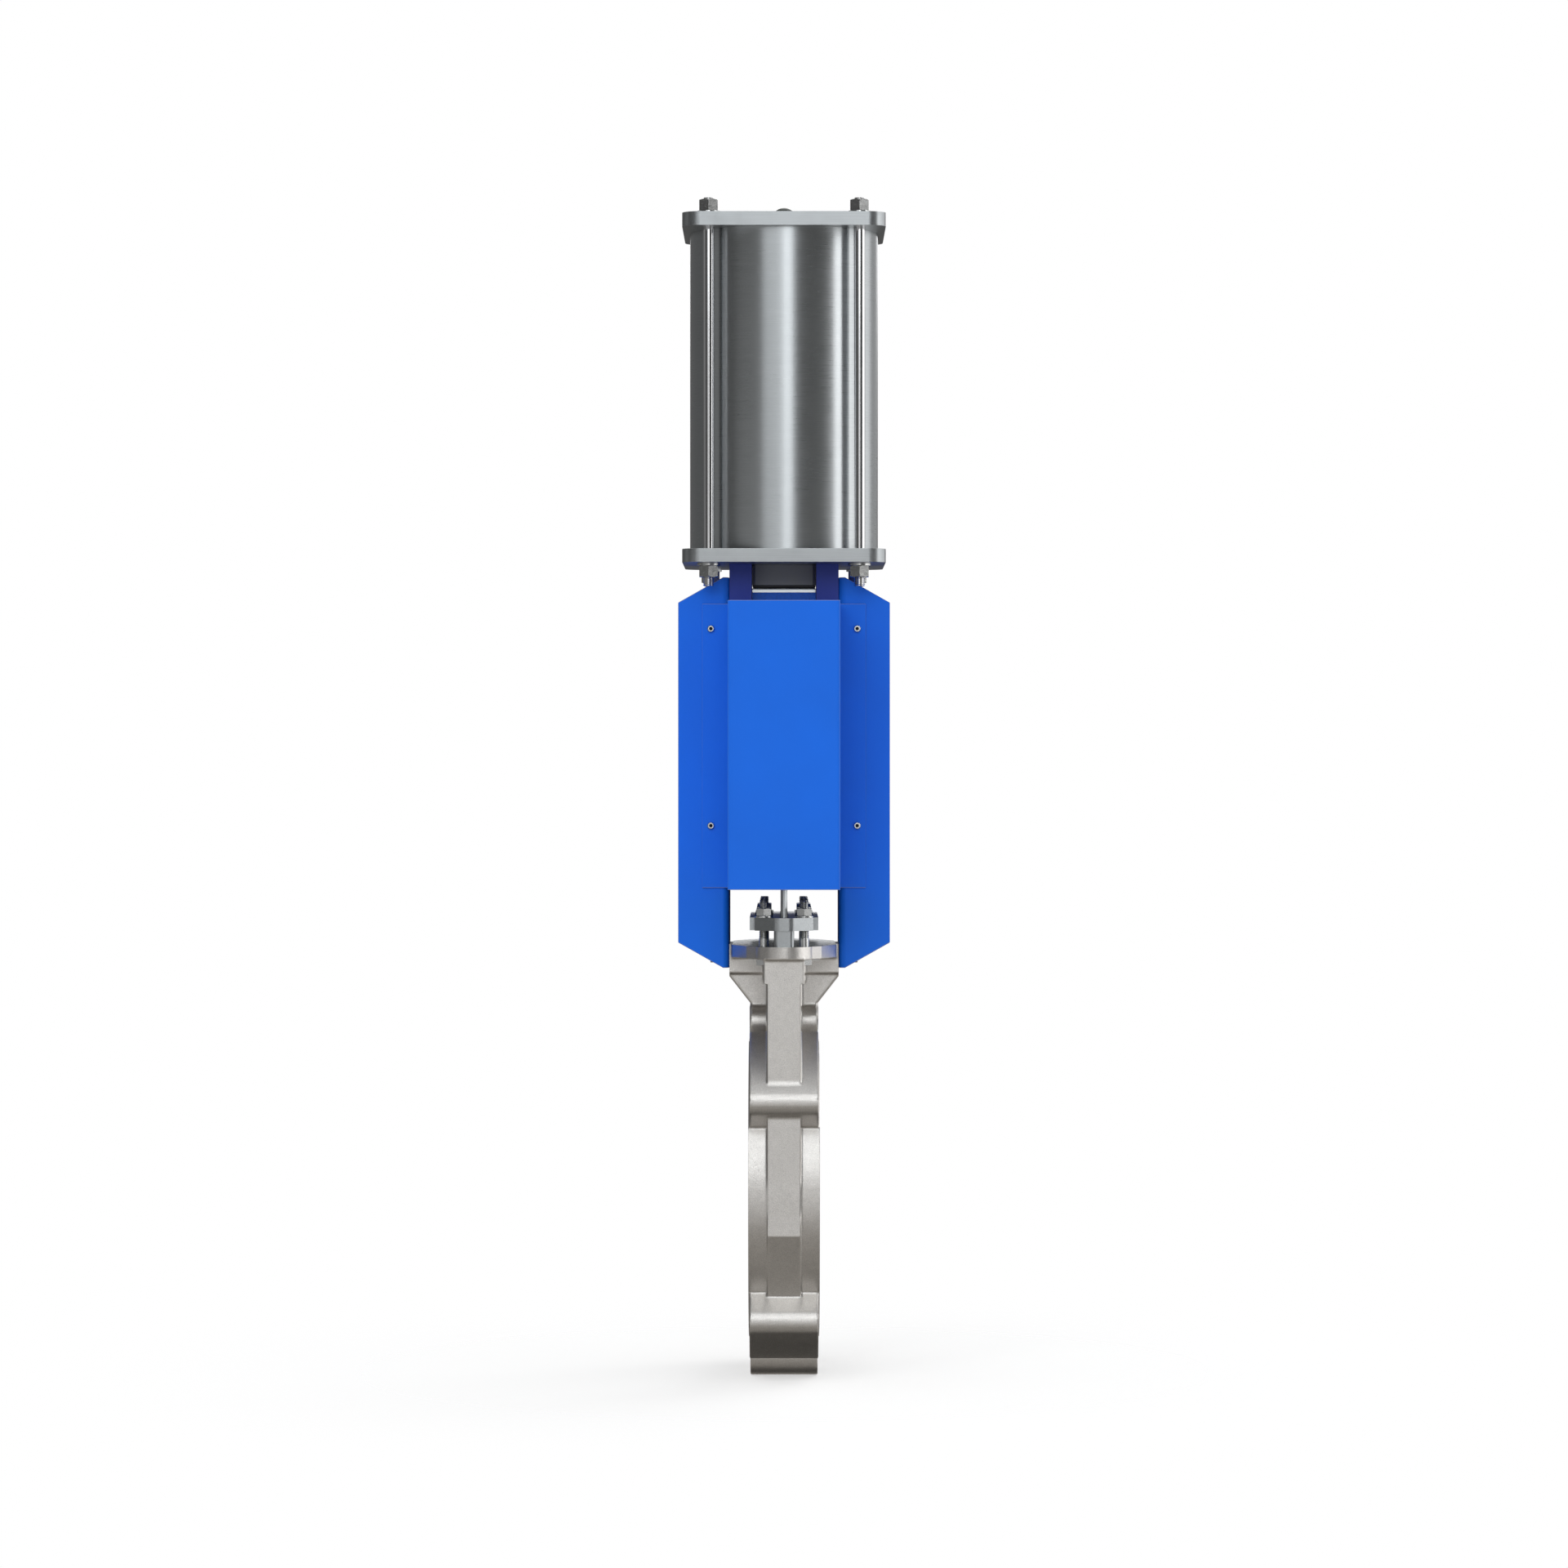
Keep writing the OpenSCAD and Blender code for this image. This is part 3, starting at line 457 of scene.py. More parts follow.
def finishes():
    """All the valve's materials, made once."""
    made = {m.name: m for m in bpy.data.materials}
    if "cast_stainless_skin" in made:
        return made
    steel = tuple(bpy.context.scene.valve_steel.steel)
    bolt = tuple(bpy.context.scene.valve_steel.fastener)
    sheet = bpy.context.scene.valve_sheet
    cast_skin()
    turned_face()
    streaked_steel("brushed_head_plate", (6, 700, 700), shade(steel, 0.8), 0.26, 0.4)
    streaked_steel("ground_gate_plate", (700, 700, 9), shade(steel, 0.84), 0.22, 0.34)
    streaked_steel("milled_follower", (700, 9, 500), shade(steel, 0.8), 0.24, 0.36)
    streaked_steel("milled_steel", (260, 260, 12), shade(steel, 0.9), 0.24, 0.36)
    streaked_steel("polished_rod", (350, 350, 5), shade(steel, 0.88), 0.10, 0.17, 0.000002, 0.12)
    streaked_steel("fastener_steel", (240, 240, 240), bolt, 0.17, 0.26, 0.00001, 0.3)
    streaked_steel("bearing_bronze", (300, 300, 40), linear(183, 141, 84), 0.28, 0.4)
    honed_tube()
    powder_coat("blue_powder_coat", tuple(sheet.coating))
    # Painted highlight: a paler, glossier copy of the blue coat, put on the bevels so that the sheet edges
    # show light lines.
    powder_coat("blue_coat_edges", tuple(c * 0.6 + 0.12 for c in sheet.coating), 0.34)
    # Painted shade: the head blocks' blue paint, darkened as though in the shade under the lower head.
    powder_coat("dark_block_paint", tuple(sheet.block_paint), 0.36)
    coated_block(steel, tuple(sheet.coating))
    socket_screws(bolt)
    powder_coat("grey_guide_paint", linear(134, 136, 138), 0.6)
    moulded("plug_plastic", linear(58, 63, 60), 0.42, 500)
    moulded("guide_plastic", linear(226, 224, 214), 0.45, 700)
    moulded("packing_cord", linear(205, 200, 184), 0.72, 1400, 0.00009, 0.3)
    moulded("seal_rubber", linear(34, 34, 35), 0.58, 900)
    return {m.name: m for m in bpy.data.materials}


# Making pieces


def smooth_nodes():
    """Node group that clears imported normals, and another that shades by angle."""
    groups = bpy.data.node_groups
    names = ("ClearNormals", "ShadeByAngle")
    if names[0] in groups:
        return [groups[name] for name in names]
    clear, by_angle = made = [groups.new(name, "GeometryNodeTree") for name in names]
    for tree in made:
        for way in ("INPUT", "OUTPUT"):
            tree.interface.new_socket("Geometry", in_out=way, socket_type="NodeSocketGeometry")
    add = node_adder(clear)
    shape = add("NodeGroupInput")[0]
    for attribute in ("custom_normal", "sharp_edge", "sharp_face"):
        shape = add("GeometryNodeRemoveAttribute", {0: shape, "Name": attribute})[0]
    add("NodeGroupOutput", {0: shape})
    add = node_adder(by_angle)
    angle = add("GeometryNodeInputMeshEdgeAngle")[0]
    wide = add("ShaderNodeMath", {0: angle, 1: math.radians(40)}, operation="GREATER_THAN")[0]
    shape = add("GeometryNodeSetShadeSmooth", {0: add("NodeGroupInput")[0]})[0]
    shape = add("GeometryNodeSetShadeSmooth", {0: shape, "Selection": wide, "Shade Smooth": False},
                domain="EDGE")[0]
    add("NodeGroupOutput", {0: shape})
    return made


def soften_edges(piece, width, imported, segments=2, edge_finish=-1):
    """Broken edges and clean shading, as modifiers on a machined piece."""
    clear, by_angle = smooth_nodes()
    if imported:
        piece.modifiers.new("Clear", "NODES").node_group = clear
        piece.modifiers.new("Weld", "WELD").merge_threshold = 0.00001
        flat = piece.modifiers.new("Flat", "DECIMATE")
        flat.decimate_type = "DISSOLVE"
        flat.angle_limit = math.radians(0.6)
    if width:
        bevel = piece.modifiers.new("Edges", "BEVEL")
        bevel.width = width
        bevel.segments = segments
        bevel.limit_method = "ANGLE"
        bevel.angle_limit = math.radians(35)
        bevel.use_clamp_overlap = True
        bevel.material = edge_finish
    piece.modifiers.new("Shade", "NODES").node_group = by_angle
    even = piece.modifiers.new("Even", "WEIGHTED_NORMAL")
    even.keep_sharp = True
    even.weight = 50


def dress(node, finish, width=None):
    """Gives a CAD node its finish and its broken edges."""
    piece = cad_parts[node]
    piece.data.materials.clear()
    piece.data.materials.append(finishes()[finish])
    if width is None:
        width = bpy.context.scene.valve_steel.edge_break
    soften_edges(piece, width, True)


def closed_mesh(name, bm):
    """A mesh from a finished bmesh, with its faces turned outwards."""
    mesh = bpy.data.meshes.new(name)
    bmesh.ops.recalc_face_normals(bm, faces=bm.faces)
    bm.to_mesh(mesh)
    bm.free()
    return mesh


def put_in_scene(name, data):
    made = bpy.data.objects.new(name, data)
    bpy.context.scene.collection.objects.link(made)
    return made


def add_piece(name, mesh, body, finish_names, replaced):
    """Puts a new mesh in the scene as a piece that rides on a body in place of a CAD node."""
    if isinstance(mesh, bmesh.types.BMesh):
        mesh = closed_mesh(name, mesh)
    piece = put_in_scene(name, mesh)
    for finish in finish_names:
        mesh.materials.append(finishes()[finish])
    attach(piece, body)
    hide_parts(replaced)
    return piece


def placed(axis, centre, a, b, t):
    """A point of a part that stands along an axis, in metres from millimetres."""
    if axis == "x":
        return Vector((t, centre[0] + a, centre[1] + b)) * MM
    if axis == "y":
        return Vector((centre[0] + a, t, centre[1] + b)) * MM
    return Vector((centre[0] + a, centre[1] + b, t)) * MM


def skin(bm, rings):
    """Quads between rings of vertices, with flat ends."""
    for low, high in zip(rings, rings[1:]):
        n = len(low)
        for i in range(n):
            j = (i + 1) % n
            bm.faces.new((low[i], low[j], high[j], high[i]))
    bm.faces.new(rings[0][::-1])
    bm.faces.new(rings[-1])


def prism(bm, outline, axis, lo, hi):
    """A flat outline in millimetres, drawn out along an axis."""
    rings = [[bm.verts.new(placed(axis, (0, 0), p[0], p[1], t)) for p in outline] for t in (lo, hi)]
    skin(bm, rings)


def rectangle(u0, v0, u1, v1):
    return [(u0, v0), (u1, v0), (u1, v1), (u0, v1)]


def mirrored(half):
    """A closed outline from the half of it that lies on the plus side."""
    return half + [(-u, v) for u, v in half[::-1]]


def round_points(cy, cz, r, n=96, a0=0.0, a1=360.0):
    """Points round a circle or arc, in millimetres."""
    whole = abs(a1 - a0) >= 360
    steps = n if whole else n + 1
    return [(cy + r * math.cos(math.radians(a0 + (a1 - a0) * i / n)),
             cz + r * math.sin(math.radians(a0 + (a1 - a0) * i / n))) for i in range(steps)]


def shank(bm, axis, centre, r, lo, hi, threads, pitch, around, chamfer=0.8, flare=None):
    """A bolt shank with real threads over the stretches named in threads, in millimetres."""
    depth = 0.6 * pitch
    crest, flank = 0.08, 0.80
    rings_per_turn = 7
    finest = 0.02
    marks = {lo, hi, lo + chamfer, hi - chamfer}
    for t0, t1 in threads:
        count = max(2, round((t1 - t0) / pitch * rings_per_turn))
        marks.update(t0 + (t1 - t0) * i / count for i in range(count + 1))
    if flare:
        marks.update((flare[0], flare[0] + flare[1]))

    def fullness(t, t0, t1):
        if t0 <= lo:
            return 1.0
        return (t - t0 if t1 >= hi else min(t - t0, t1 - t)) / pitch

    last, rings = None, []
    for t in sorted(marks):
        if not lo <= t <= hi or (last is not None and t - last <= finest):
            continue
        last = t
        cut = max(0.0, chamfer - (t - lo), chamfer - (hi - t))
        full = min(1.0, max([0.0] + [fullness(t, t0, t1) for t0, t1 in threads if t0 <= t <= t1]))
        ring = []
        for k in range(around):
            turn = 2 * math.pi * k / around
            phase = (t / pitch - k / around) % 1.0
            tooth = min(1.0, max(0.0, (abs(2 * phase - 1) - crest) / flank))
            rad = min(r - depth * full * (1 - tooth), r - cut)
            if flare and t >= flare[0]:
                rad = max(rad, r + min(flare[1], t - flare[0]))
            ring.append(bm.verts.new(placed(axis, centre, rad * math.cos(turn), rad * math.sin(turn), t)))
        rings.append(ring)
    skin(bm, rings)


def hexagon_head(bm, centre, across, lo, hi, per=6):
    """An upright hexagon head, chamfered underneath by 30 degrees, with a corner to each side."""
    flat, rim = across / 2, across / 2 * 0.965
    slope = 0.55

    def ring(height, chamfered=False, inner=False):
        out = []
        for k in range(6 * per):
            turn = math.radians(60 * k / per)
            r = flat / math.cos((turn % math.radians(60)) - math.radians(30))
            t = height + (slope * (r - rim) if chamfered else 0)
            if inner:
                r = rim
            a = turn + math.radians(30)
            out.append(bm.verts.new(placed("z", centre, r * math.cos(a), r * math.sin(a), t)))
        return out

    skin(bm, [ring(lo, inner=True), ring(lo, chamfered=True), ring(hi)])


def bent_strip(path, t, r, steps=6):
    """Closed outline of a folded sheet from its middle line, in millimetres."""
    line = []
    pts = [Vector(p) for p in path]
    for i, p in enumerate(pts):
        if i in (0, len(pts) - 1):
            line.append(p)
            continue
        a, b = (pts[i - 1] - p).normalized(), (pts[i + 1] - p).normalized()
        half = a.angle(b) / 2
        back = r / math.tan(half)
        centre = p + (a + b).normalized() * (r / math.sin(half))
        s, e = p + a * back - centre, p + b * back - centre
        sweep = s.angle(e)
        side = 1 if s.x * e.y - s.y * e.x > 0 else -1
        for k in range(steps + 1):
            c, d = math.cos(side * sweep * k / steps), math.sin(side * sweep * k / steps)
            line.append(centre + Vector((s.x * c - s.y * d, s.x * d + s.y * c)))
    left, right = [], []
    for i, p in enumerate(line):
        run = (line[min(i + 1, len(line) - 1)] - line[max(i - 1, 0)]).normalized()
        across = Vector((-run.y, run.x)) * t / 2
        left.append(p + across)
        right.append(p - across)
    return [tuple(p) for p in left + right[::-1]]


def cut_away(piece, cutters, machined=None):
    """Cuts a piece with solid cutters, one after the other.

    A finish for machined surfaces goes on what the cutters lay bare. Without one the cut
    faces keep the piece's own finish, as the edges of a coated sheet do.
    """
    for bm in cutters:
        tool = put_in_scene("cutter", closed_mesh("cutter", bm))
        tool.data.materials.append(finishes()[machined] if machined else piece.data.materials[0])
        change = piece.modifiers.new("Cut", "BOOLEAN")
        change.solver = "MANIFOLD" if machined else "EXACT"
        change.operation = "DIFFERENCE"
        change.material_mode = "TRANSFER" if machined else "INDEX"
        change.object = tool
        bpy.context.view_layer.update()
        result = bpy.data.meshes.new_from_object(
            piece.evaluated_get(bpy.context.evaluated_depsgraph_get()))
        piece.modifiers.remove(change)
        if not result.polygons:
            raise RuntimeError(f"a cut left nothing of {piece.name}")
        old, piece.data = piece.data, result
        bpy.data.meshes.remove(old)
        mesh = tool.data
        bpy.data.objects.remove(tool)
        bpy.data.meshes.remove(mesh)


def sharpen_borders(mesh):
    """Sharp edges wherever a machined surface meets the cast skin."""
    kinds = np.zeros(len(mesh.polygons), np.int32)
    mesh.polygons.foreach_get("material_index", kinds)
    sides = np.zeros(len(mesh.polygons), np.int32)
    mesh.polygons.foreach_get("loop_total", sides)
    edges = np.zeros(len(mesh.loops), np.int32)
    mesh.loops.foreach_get("edge_index", edges)
    kinds = np.repeat(kinds, sides)
    low = np.full(len(mesh.edges), 99)
    high = np.full(len(mesh.edges), -1)
    np.minimum.at(low, edges, kinds)
    np.maximum.at(high, edges, kinds)
    sharp = np.zeros(len(mesh.edges), bool)
    mesh.edges.foreach_get("use_edge_sharp", sharp)
    mesh.edges.foreach_set("use_edge_sharp", sharp | (low != high))


# Casting


def outline_distance(u, v, points):
    """Signed distance from each grid point to a closed outline, negative inside."""
    pts = np.array(points, float)
    best = np.full(u.shape, 1e9)
    sign = np.ones(u.shape)
    for a, b in zip(pts, np.roll(pts, 1, axis=0)):
        eu, ev = b - a
        wu, wv = u - a[0], v - a[1]
        t = np.clip((wu * eu + wv * ev) / (eu * eu + ev * ev), 0, 1)
        best = np.minimum(best, (wu - eu * t) ** 2 + (wv - ev * t) ** 2)
        up, down, left = v >= a[1], v < b[1], eu * wv > ev * wu
        sign = np.where((up & down & left) | (~up & ~down & ~left), -sign, sign)
    return sign * np.sqrt(best)


def filleted(a, b, k):
    """Two shapes poured as one, with a fillet between them."""
    h = np.maximum(k - np.abs(a - b), 0)
    return np.minimum(a, b) - h * h / (4 * k)


def slab(flat, across, half, r):
    """A flat outline given thickness, with rounded rims."""
    a, b = flat + r, np.abs(across) - (half - r)
    return np.minimum(np.maximum(a, b), 0) + np.hypot(np.maximum(a, 0), np.maximum(b, 0)) - r


def polar(r, a):
    return (r * math.cos(math.radians(a)), r * math.sin(math.radians(a)))


def rim_lug(Y, Z, start, end):
    """A lug along the rim, from one angle to another, with a nose at its start."""
    cy, cz = polar(RIM_R - RIM_NOSE_R, start)
    cos, sin = polar(1, start)
    far, farther, back = RIM_R * 1.3, RIM_R * 1.5, -60
    wedge = [(0, 0), polar(far, start), polar(farther, (start + end) / 2), polar(far, end)]
    flank = [(cy + cos * p - sin * q, cz + sin * p + cos * q)
             for p, q in ((back, 0), (0, 0), (0, -RIM_NOSE_R), (back, -RIM_NOSE_R))]
    lug = np.maximum(np.hypot(Y, Z) - RIM_R, outline_distance(Y, Z, wedge))
    lug = np.minimum(lug, np.hypot(Y - cy, Z - cz) - RIM_NOSE_R)
    return np.minimum(lug, outline_distance(Y, Z, flank))


def upper_lug(Y, Z):
    """A lug beside the neck, with two small round corners on its top."""
    cy, cz = polar(BOLT_CIRCLE_R, LUG_TURN)
    half, nose_r, nose = 16, 13.5, 6
    u, v = np.abs(Y - cy), Z - cz
    block = [(-half, LUG_ROOT), (half, LUG_ROOT), (half, nose), (nose, nose), (nose, LUG_R), (-half, LUG_R)]
    return np.minimum(np.hypot(u - nose, v - nose) - nose_r, outline_distance(u, v, block))


def lower_lug(Y, Z):
    """A round lug under the bore, with straight sides."""
    cy, cz = polar(BOLT_CIRCLE_R, LUG_TURN)
    block = rectangle(cy - LUG_R, cz + LUG_ROOT, cy + LUG_R, cz)
    return np.minimum(np.hypot(Y - cy, -Z - cz) - LUG_R, outline_distance(Y, -Z, block))


def neck_outline(X, Y):
    """The gland flange from above: a long oval with straight facets and round ends."""
    half = [(17.9, 131.9), (32.6, 105), (45.2, 67), (45.2, -67), (32.6, -105), (17.9, -131.9)]
    end_y, end_r = 114, 25
    return np.minimum(np.hypot(X, Y - end_y) - end_r, outline_distance(X, Y, mirrored(half)))


def ear_and_web(x, y, z):
    """The pad that a yoke stud goes into, and the web that slants down from it."""
    X, Z = np.meshgrid(x, z, indexing="ij")
    across = (y - STUD_Y[1])[None, :, None]
    inside_x, foot_x, foot_z, slant_z, slant_top = 10, 29.2, 120, 164.4, 190.4
    pad = outline_distance(X, Z, rectangle(inside_x, EAR_Z, BLANK_EAR_X, BLANK_NECK_TOP))
    web = outline_distance(X, Z, [
        (inside_x, NECK_Z), (BLANK_EAR_X, NECK_Z), (BLANK_EAR_X, slant_top), (foot_x, slant_z),
        (foot_x, foot_z), (inside_x, foot_z)])
    pad = slab(pad[:, None, :], across, PAD_HALF, 1.5)
    return filleted(pad, slab(web[:, None, :], across, WEB_HALF, 2), 1.5)


def casting_field(step, fillet, edge):
    """Distance field of the casting blank: a quarter is worked out and mirrored."""
    x = np.arange(0.5, 53 / step) * step
    y = np.arange(0.5, 172 / step) * step
    z = np.arange(-170, 224, step)
    X = x[:, None, None]
    Y, Z = np.meshgrid(y, z, indexing="ij")
    disc_edge, lug_fillet, disc_fillet, neck_fillet, ear_fillet = 1.5, 2, 1.8, 2, 3.5
    disc = slab((np.hypot(Y, Z) - FACE_R)[None], X, BLANK_FACE_X, disc_edge)
    rims = np.minimum(rim_lug(Y, Z, *UPPER_RIM), rim_lug(Y, -Z, *LOWER_RIM))
    lugs = np.minimum(upper_lug(Y, Z), lower_lug(Y, Z))
    lugs = filleted(slab(rims[None], X, RIM_X, edge), slab(lugs[None], X, LUG_X, edge), lug_fillet)
    field = filleted(disc, lugs, disc_fillet)
    housing = mirrored([(RIB_Y, 200), (RIB_Y, -33), (RIB_Y - 26.5, -86), (RIB_Y - 60, -120)])
    housing = slab(outline_distance(Y, Z, housing)[None], X, RIB_X, edge)
    collar = rectangle(-RIB_Y, COLLAR_Z, RIB_Y, NECK_Z + 1.3)
    collar = slab(outline_distance(Y, Z, collar)[None], X, COLLAR_X, edge)
    field = filleted(field, np.minimum(housing, collar), fillet)
    neck = neck_outline(*np.meshgrid(x, y, indexing="ij"))
    middle, half = (BLANK_NECK_TOP + NECK_Z) / 2, (BLANK_NECK_TOP - NECK_Z) / 2
    field = filleted(field, slab(neck[:, :, None], z[None, None, :] - middle, half, edge), neck_fillet)
    field = filleted(field, ear_and_web(x, y, z), ear_fillet)
    field = np.concatenate([field[::-1], field], 0)
    field = np.concatenate([field[:, ::-1], field], 1)
    return field, np.array([-x[-1], -y[-1], z[0]])


def skin_of_field(field, origin, step):
    """Points and quads of the surface where the field changes sign."""
    inside = field < 0
    n = np.array(field.shape) - 1
    corners = [(a, b, c) for a in (0, 1) for b in (0, 1) for c in (0, 1)]
    count = sum(inside[a:a + n[0], b:b + n[1], c:c + n[2]].astype(np.int8) for a, b, c in corners)
    active = (count > 0) & (count < 8)
    index = np.full(active.shape, -1, np.int64)
    index[active] = np.arange(active.sum())
    cells = np.argwhere(active)
    total, hits = np.zeros((len(cells), 3)), np.zeros(len(cells))
    for a in corners:
        for axis in range(3):
            if a[axis]:
                continue
            b = np.array(a)
            b[axis] = 1
            fa, fb = field[tuple((cells + a).T)], field[tuple((cells + b).T)]
            cross = (fa < 0) != (fb < 0)
            p = np.tile(np.array(a, float), (int(cross.sum()), 1))
            p[:, axis] = fa[cross] / (fa[cross] - fb[cross])
            total[cross] += p
            hits[cross] += 1
    points = origin + step * (cells + total / hits[:, None])
    faces = []
    for axis in range(3):
        u, v = (axis + 1) % 3, (axis + 2) % 3
        lo, hi = [slice(None)] * 3, [slice(None)] * 3
        lo[axis], hi[axis] = slice(0, -1), slice(1, None)
        e = np.argwhere(inside[tuple(lo)] != inside[tuple(hi)])
        e = e[(e[:, u] > 0) & (e[:, v] > 0) & (e[:, u] < n[u]) & (e[:, v] < n[v])]
        quad = []
        for du, dv in ((1, 1), (0, 1), (0, 0), (1, 0)):
            c = e.copy()
            c[:, u] -= du
            c[:, v] -= dv
            quad.append(index[tuple(c.T)])
        quad = np.stack(quad, 1)
        flip = ~inside[tuple(e.T)]
        quad[flip] = quad[flip][:, ::-1]
        faces.append(quad)
    return points, np.concatenate(faces)


def both_ways(near, far):
    """The stretches from near to far on both sides of the middle."""
    return ((-far, -near), (near, far))


def gland_places():
    """Where the gland's bolts stand, seen from above."""
    return [(x, i * GLAND_STEP) for x in (-GLAND_X, GLAND_X) for i in range(-2, 3)]


def body_cutters():
    """Solids that stand for the machining of the casting, in order."""
    cuts = [bmesh.new() for _ in range(11)]
    faces, neck, ears, bore, seat, ring, slot, packing, lugs, bolts, pockets = cuts
    past_x, past_z = 60, 240
    for stretch in both_ways(FACE_X, past_x):
        prism(faces, rectangle(-180, -200, 180, 150), "x", *stretch)
    prism(neck, rectangle(-past_x, -180, past_x, 180), "z", NECK_TOP, past_z)
    for stretch in both_ways(EAR_X, past_x):
        prism(ears, rectangle(-past_x, 152, past_x, 230), "x", *stretch)
    seat_r, ring_r, ring_x = 102.5, 109, 10.3
    prism(bore, round_points(0, 0, BORE_R, 160), "x", -past_x, past_x)
    prism(seat, round_points(0, 0, seat_r, 160), "x", 0, past_x)
    prism(ring, round_points(0, 0, ring_r, 160), "x", 0, ring_x)
    slot_y, slot_x, slot_arc_z = 121, 4.3, 9
    outline = round_points(0, slot_arc_z, slot_y, 80, 180, 360) + [(slot_y, past_z), (-slot_y, past_z)]
    prism(slot, outline, "x", -slot_x, slot_x)
    packing_z = 172
    prism(packing, mirrored([(4.9, 126), (8.9, 122), (8.9, -122), (4.9, -126)]), "z", packing_z, past_z)
    around = bpy.context.scene.valve_steel.around + 8
    hole_x, countersink = (8.5, 34), 1.2
    for turn, mouth in ((LUG_TURN, 28.6), (RIM_HOLE_TURN, 29)):
        y, z = polar(BOLT_CIRCLE_R, turn)
        for s in (-1, 1):
            for lo, hi in both_ways(*hole_x):
                flare = (mouth, countersink) if lo > 0 else None
                shank(lugs, "x", (s * y, z), HOLE_R, lo, hi, [(lo, hi)], HOLE_PITCH, around, 0.5, flare)
            prism(lugs, round_points(s * y, -z, HOLE_R, 48), "x", -past_x, past_x)
    for x, y in gland_places():
        prism(bolts, round_points(x, y, GLAND_BOLT_R + 0.2, 32), "z", 202, 232)
    for stretch in both_ways(30, 49):
        for y in STUD_Y:
            prism(bolts, round_points(y, STUD_Z[0], STUD_R + 0.03, 32), "x", *stretch)
    pocket_x, pocket_half = (10.9, 30.9), 7.9
    for x0, x1 in both_ways(*pocket_x):
        for i in range(-2, 3):
            y = i * GLAND_STEP
            prism(pockets, rectangle(x0, y - pocket_half, x1, y + pocket_half), "z", POCKET_Z, NECK_Z)
    return cuts


# Operators


# The second finish paints a highlight on the sheets' bevelled edges.
SHEET_FINISHES = ("blue_powder_coat", "blue_coat_edges")


class VALVE_OT_cast_body(bpy.types.Operator):
    """Pour and machine the stainless wafer body"""

    bl_idname = "valve.cast_body"
    bl_label = "Cast body"

    def execute(self, context):
        s = context.scene.valve_casting
        name = "valve_body_casting"
        step = s.fineness / MM
        points, faces = skin_of_field(*casting_field(step, s.fillet / MM, s.edge / MM), step)
        mesh = bpy.data.meshes.new(name)
        mesh.from_pydata((points * MM).tolist(), [], faces.tolist())
        mesh.update()
        piece = add_piece(name, mesh, FIXED, ["cast_stainless_skin"], "body")
        cut_away(piece, body_cutters(), "turned_stainless")
        mesh = piece.data
        mesh.name = name
        mesh.polygons.foreach_set("use_smooth", [True] * len(mesh.polygons))
        mesh.set_sharp_from_angle(angle=math.radians(38))
        sharpen_borders(mesh)
        return {"FINISHED"}


class VALVE_OT_seat(bpy.types.Operator):
    """Finish the seat, the gate's guides and the packing"""

    bl_idname = "valve.seat"
    bl_label = "Seat and packing"

    def execute(self, context):
        dress("seat_retainer", "turned_stainless")
        dress("seat_seal", "seal_rubber", 0.0004)
        dress("gate_guides", "guide_plastic", 0.0004)
        dress("packing_rings", "packing_cord", 0.0008)
        return {"FINISHED"}


class VALVE_OT_gland(bpy.types.Operator):
    """Finish the gland follower, its nuts and washers, and cut threads on its bolts"""

    bl_idname = "valve.gland"
    bl_label = "Gland"

    def execute(self, context):
        s = context.scene.valve_steel
        dress("gland_follower", "milled_follower", 0.0007)
        dress("gland_washers", "fastener_steel", 0.0002)
        dress("gland_nuts", "fastener_steel", 0.0002)
        across, head_z, thread_z, end_z = 13, 200.4, 223.6, 255.8
        bm = bmesh.new()
        for place in gland_places():
            hexagon_head(bm, place, across, head_z, NECK_Z)
            shank(bm, "z", place, GLAND_BOLT_R, NECK_Z - 0.1, end_z, [(thread_z, end_z)],
                  s.gland_pitch / MM, s.around)
        piece = add_piece("gland_bolts_threaded", bm, FIXED, ["fastener_steel"], "gland_bolts")
        soften_edges(piece, 0, False)
        return {"FINISHED"}


class VALVE_OT_yoke_plates(bpy.types.Operator):
    """Fold the two blue side plates of the yoke"""

    bl_idname = "valve.yoke_plates"
    bl_label = "Yoke plates"

    def execute(self, context):
        fold = context.scene.valve_sheet.yoke_fold / MM
        (x0, x1), (z0, z1) = YOKE_X, YOKE_Z
        mid_x, mid_y = x0 + YOKE_SHEET / 2, YOKE_Y - YOKE_SHEET / 2
        outline = bent_strip([(x1, -mid_y), (mid_x, -mid_y), (mid_x, mid_y), (x1, mid_y)], YOKE_SHEET, fold)
        corner_x = x0 + 5.5
        rise = (x1 + 1 - corner_x) * math.tan(math.radians(29.4))
        for name, side in (("left", -1), ("right", 1)):
            sheet, corners, holes = (bmesh.new() for _ in range(3))
            prism(sheet, [(side * px, py) for px, py in outline], "z", z0, z1)
            piece = add_piece(f"yoke_plate_{name}_folded", sheet, FIXED, SHEET_FINISHES,
                              f"yoke_plate_{name}")
            for end, way in ((z1, 1), (z0, -1)):
                prism(corners, [(side * px, pz) for px, pz in (
                    (corner_x, end), (x1 + 1, end - way * rise), (x1 + 1, end + way * 3),
                    (corner_x, end + way * 3))], "y", -60, 60)
            for y in STUD_Y:
                for z in STUD_Z:
                    prism(holes, round_points(y, z, 5.5, 32), "x", *sorted((side * 40, side * 60)))
            for stretch in both_ways(40, 60):
                for z in SCREW_Z:
                    prism(holes, round_points(side * SCREW_X, z, 2, 24), "y", *stretch)
            cut_away(piece, [corners, holes])
            # The bevels take finish 1, the paler coat that paints a highlight along the edges.
            soften_edges(piece, 0.0006, False, 3, 1)
        return {"FINISHED"}


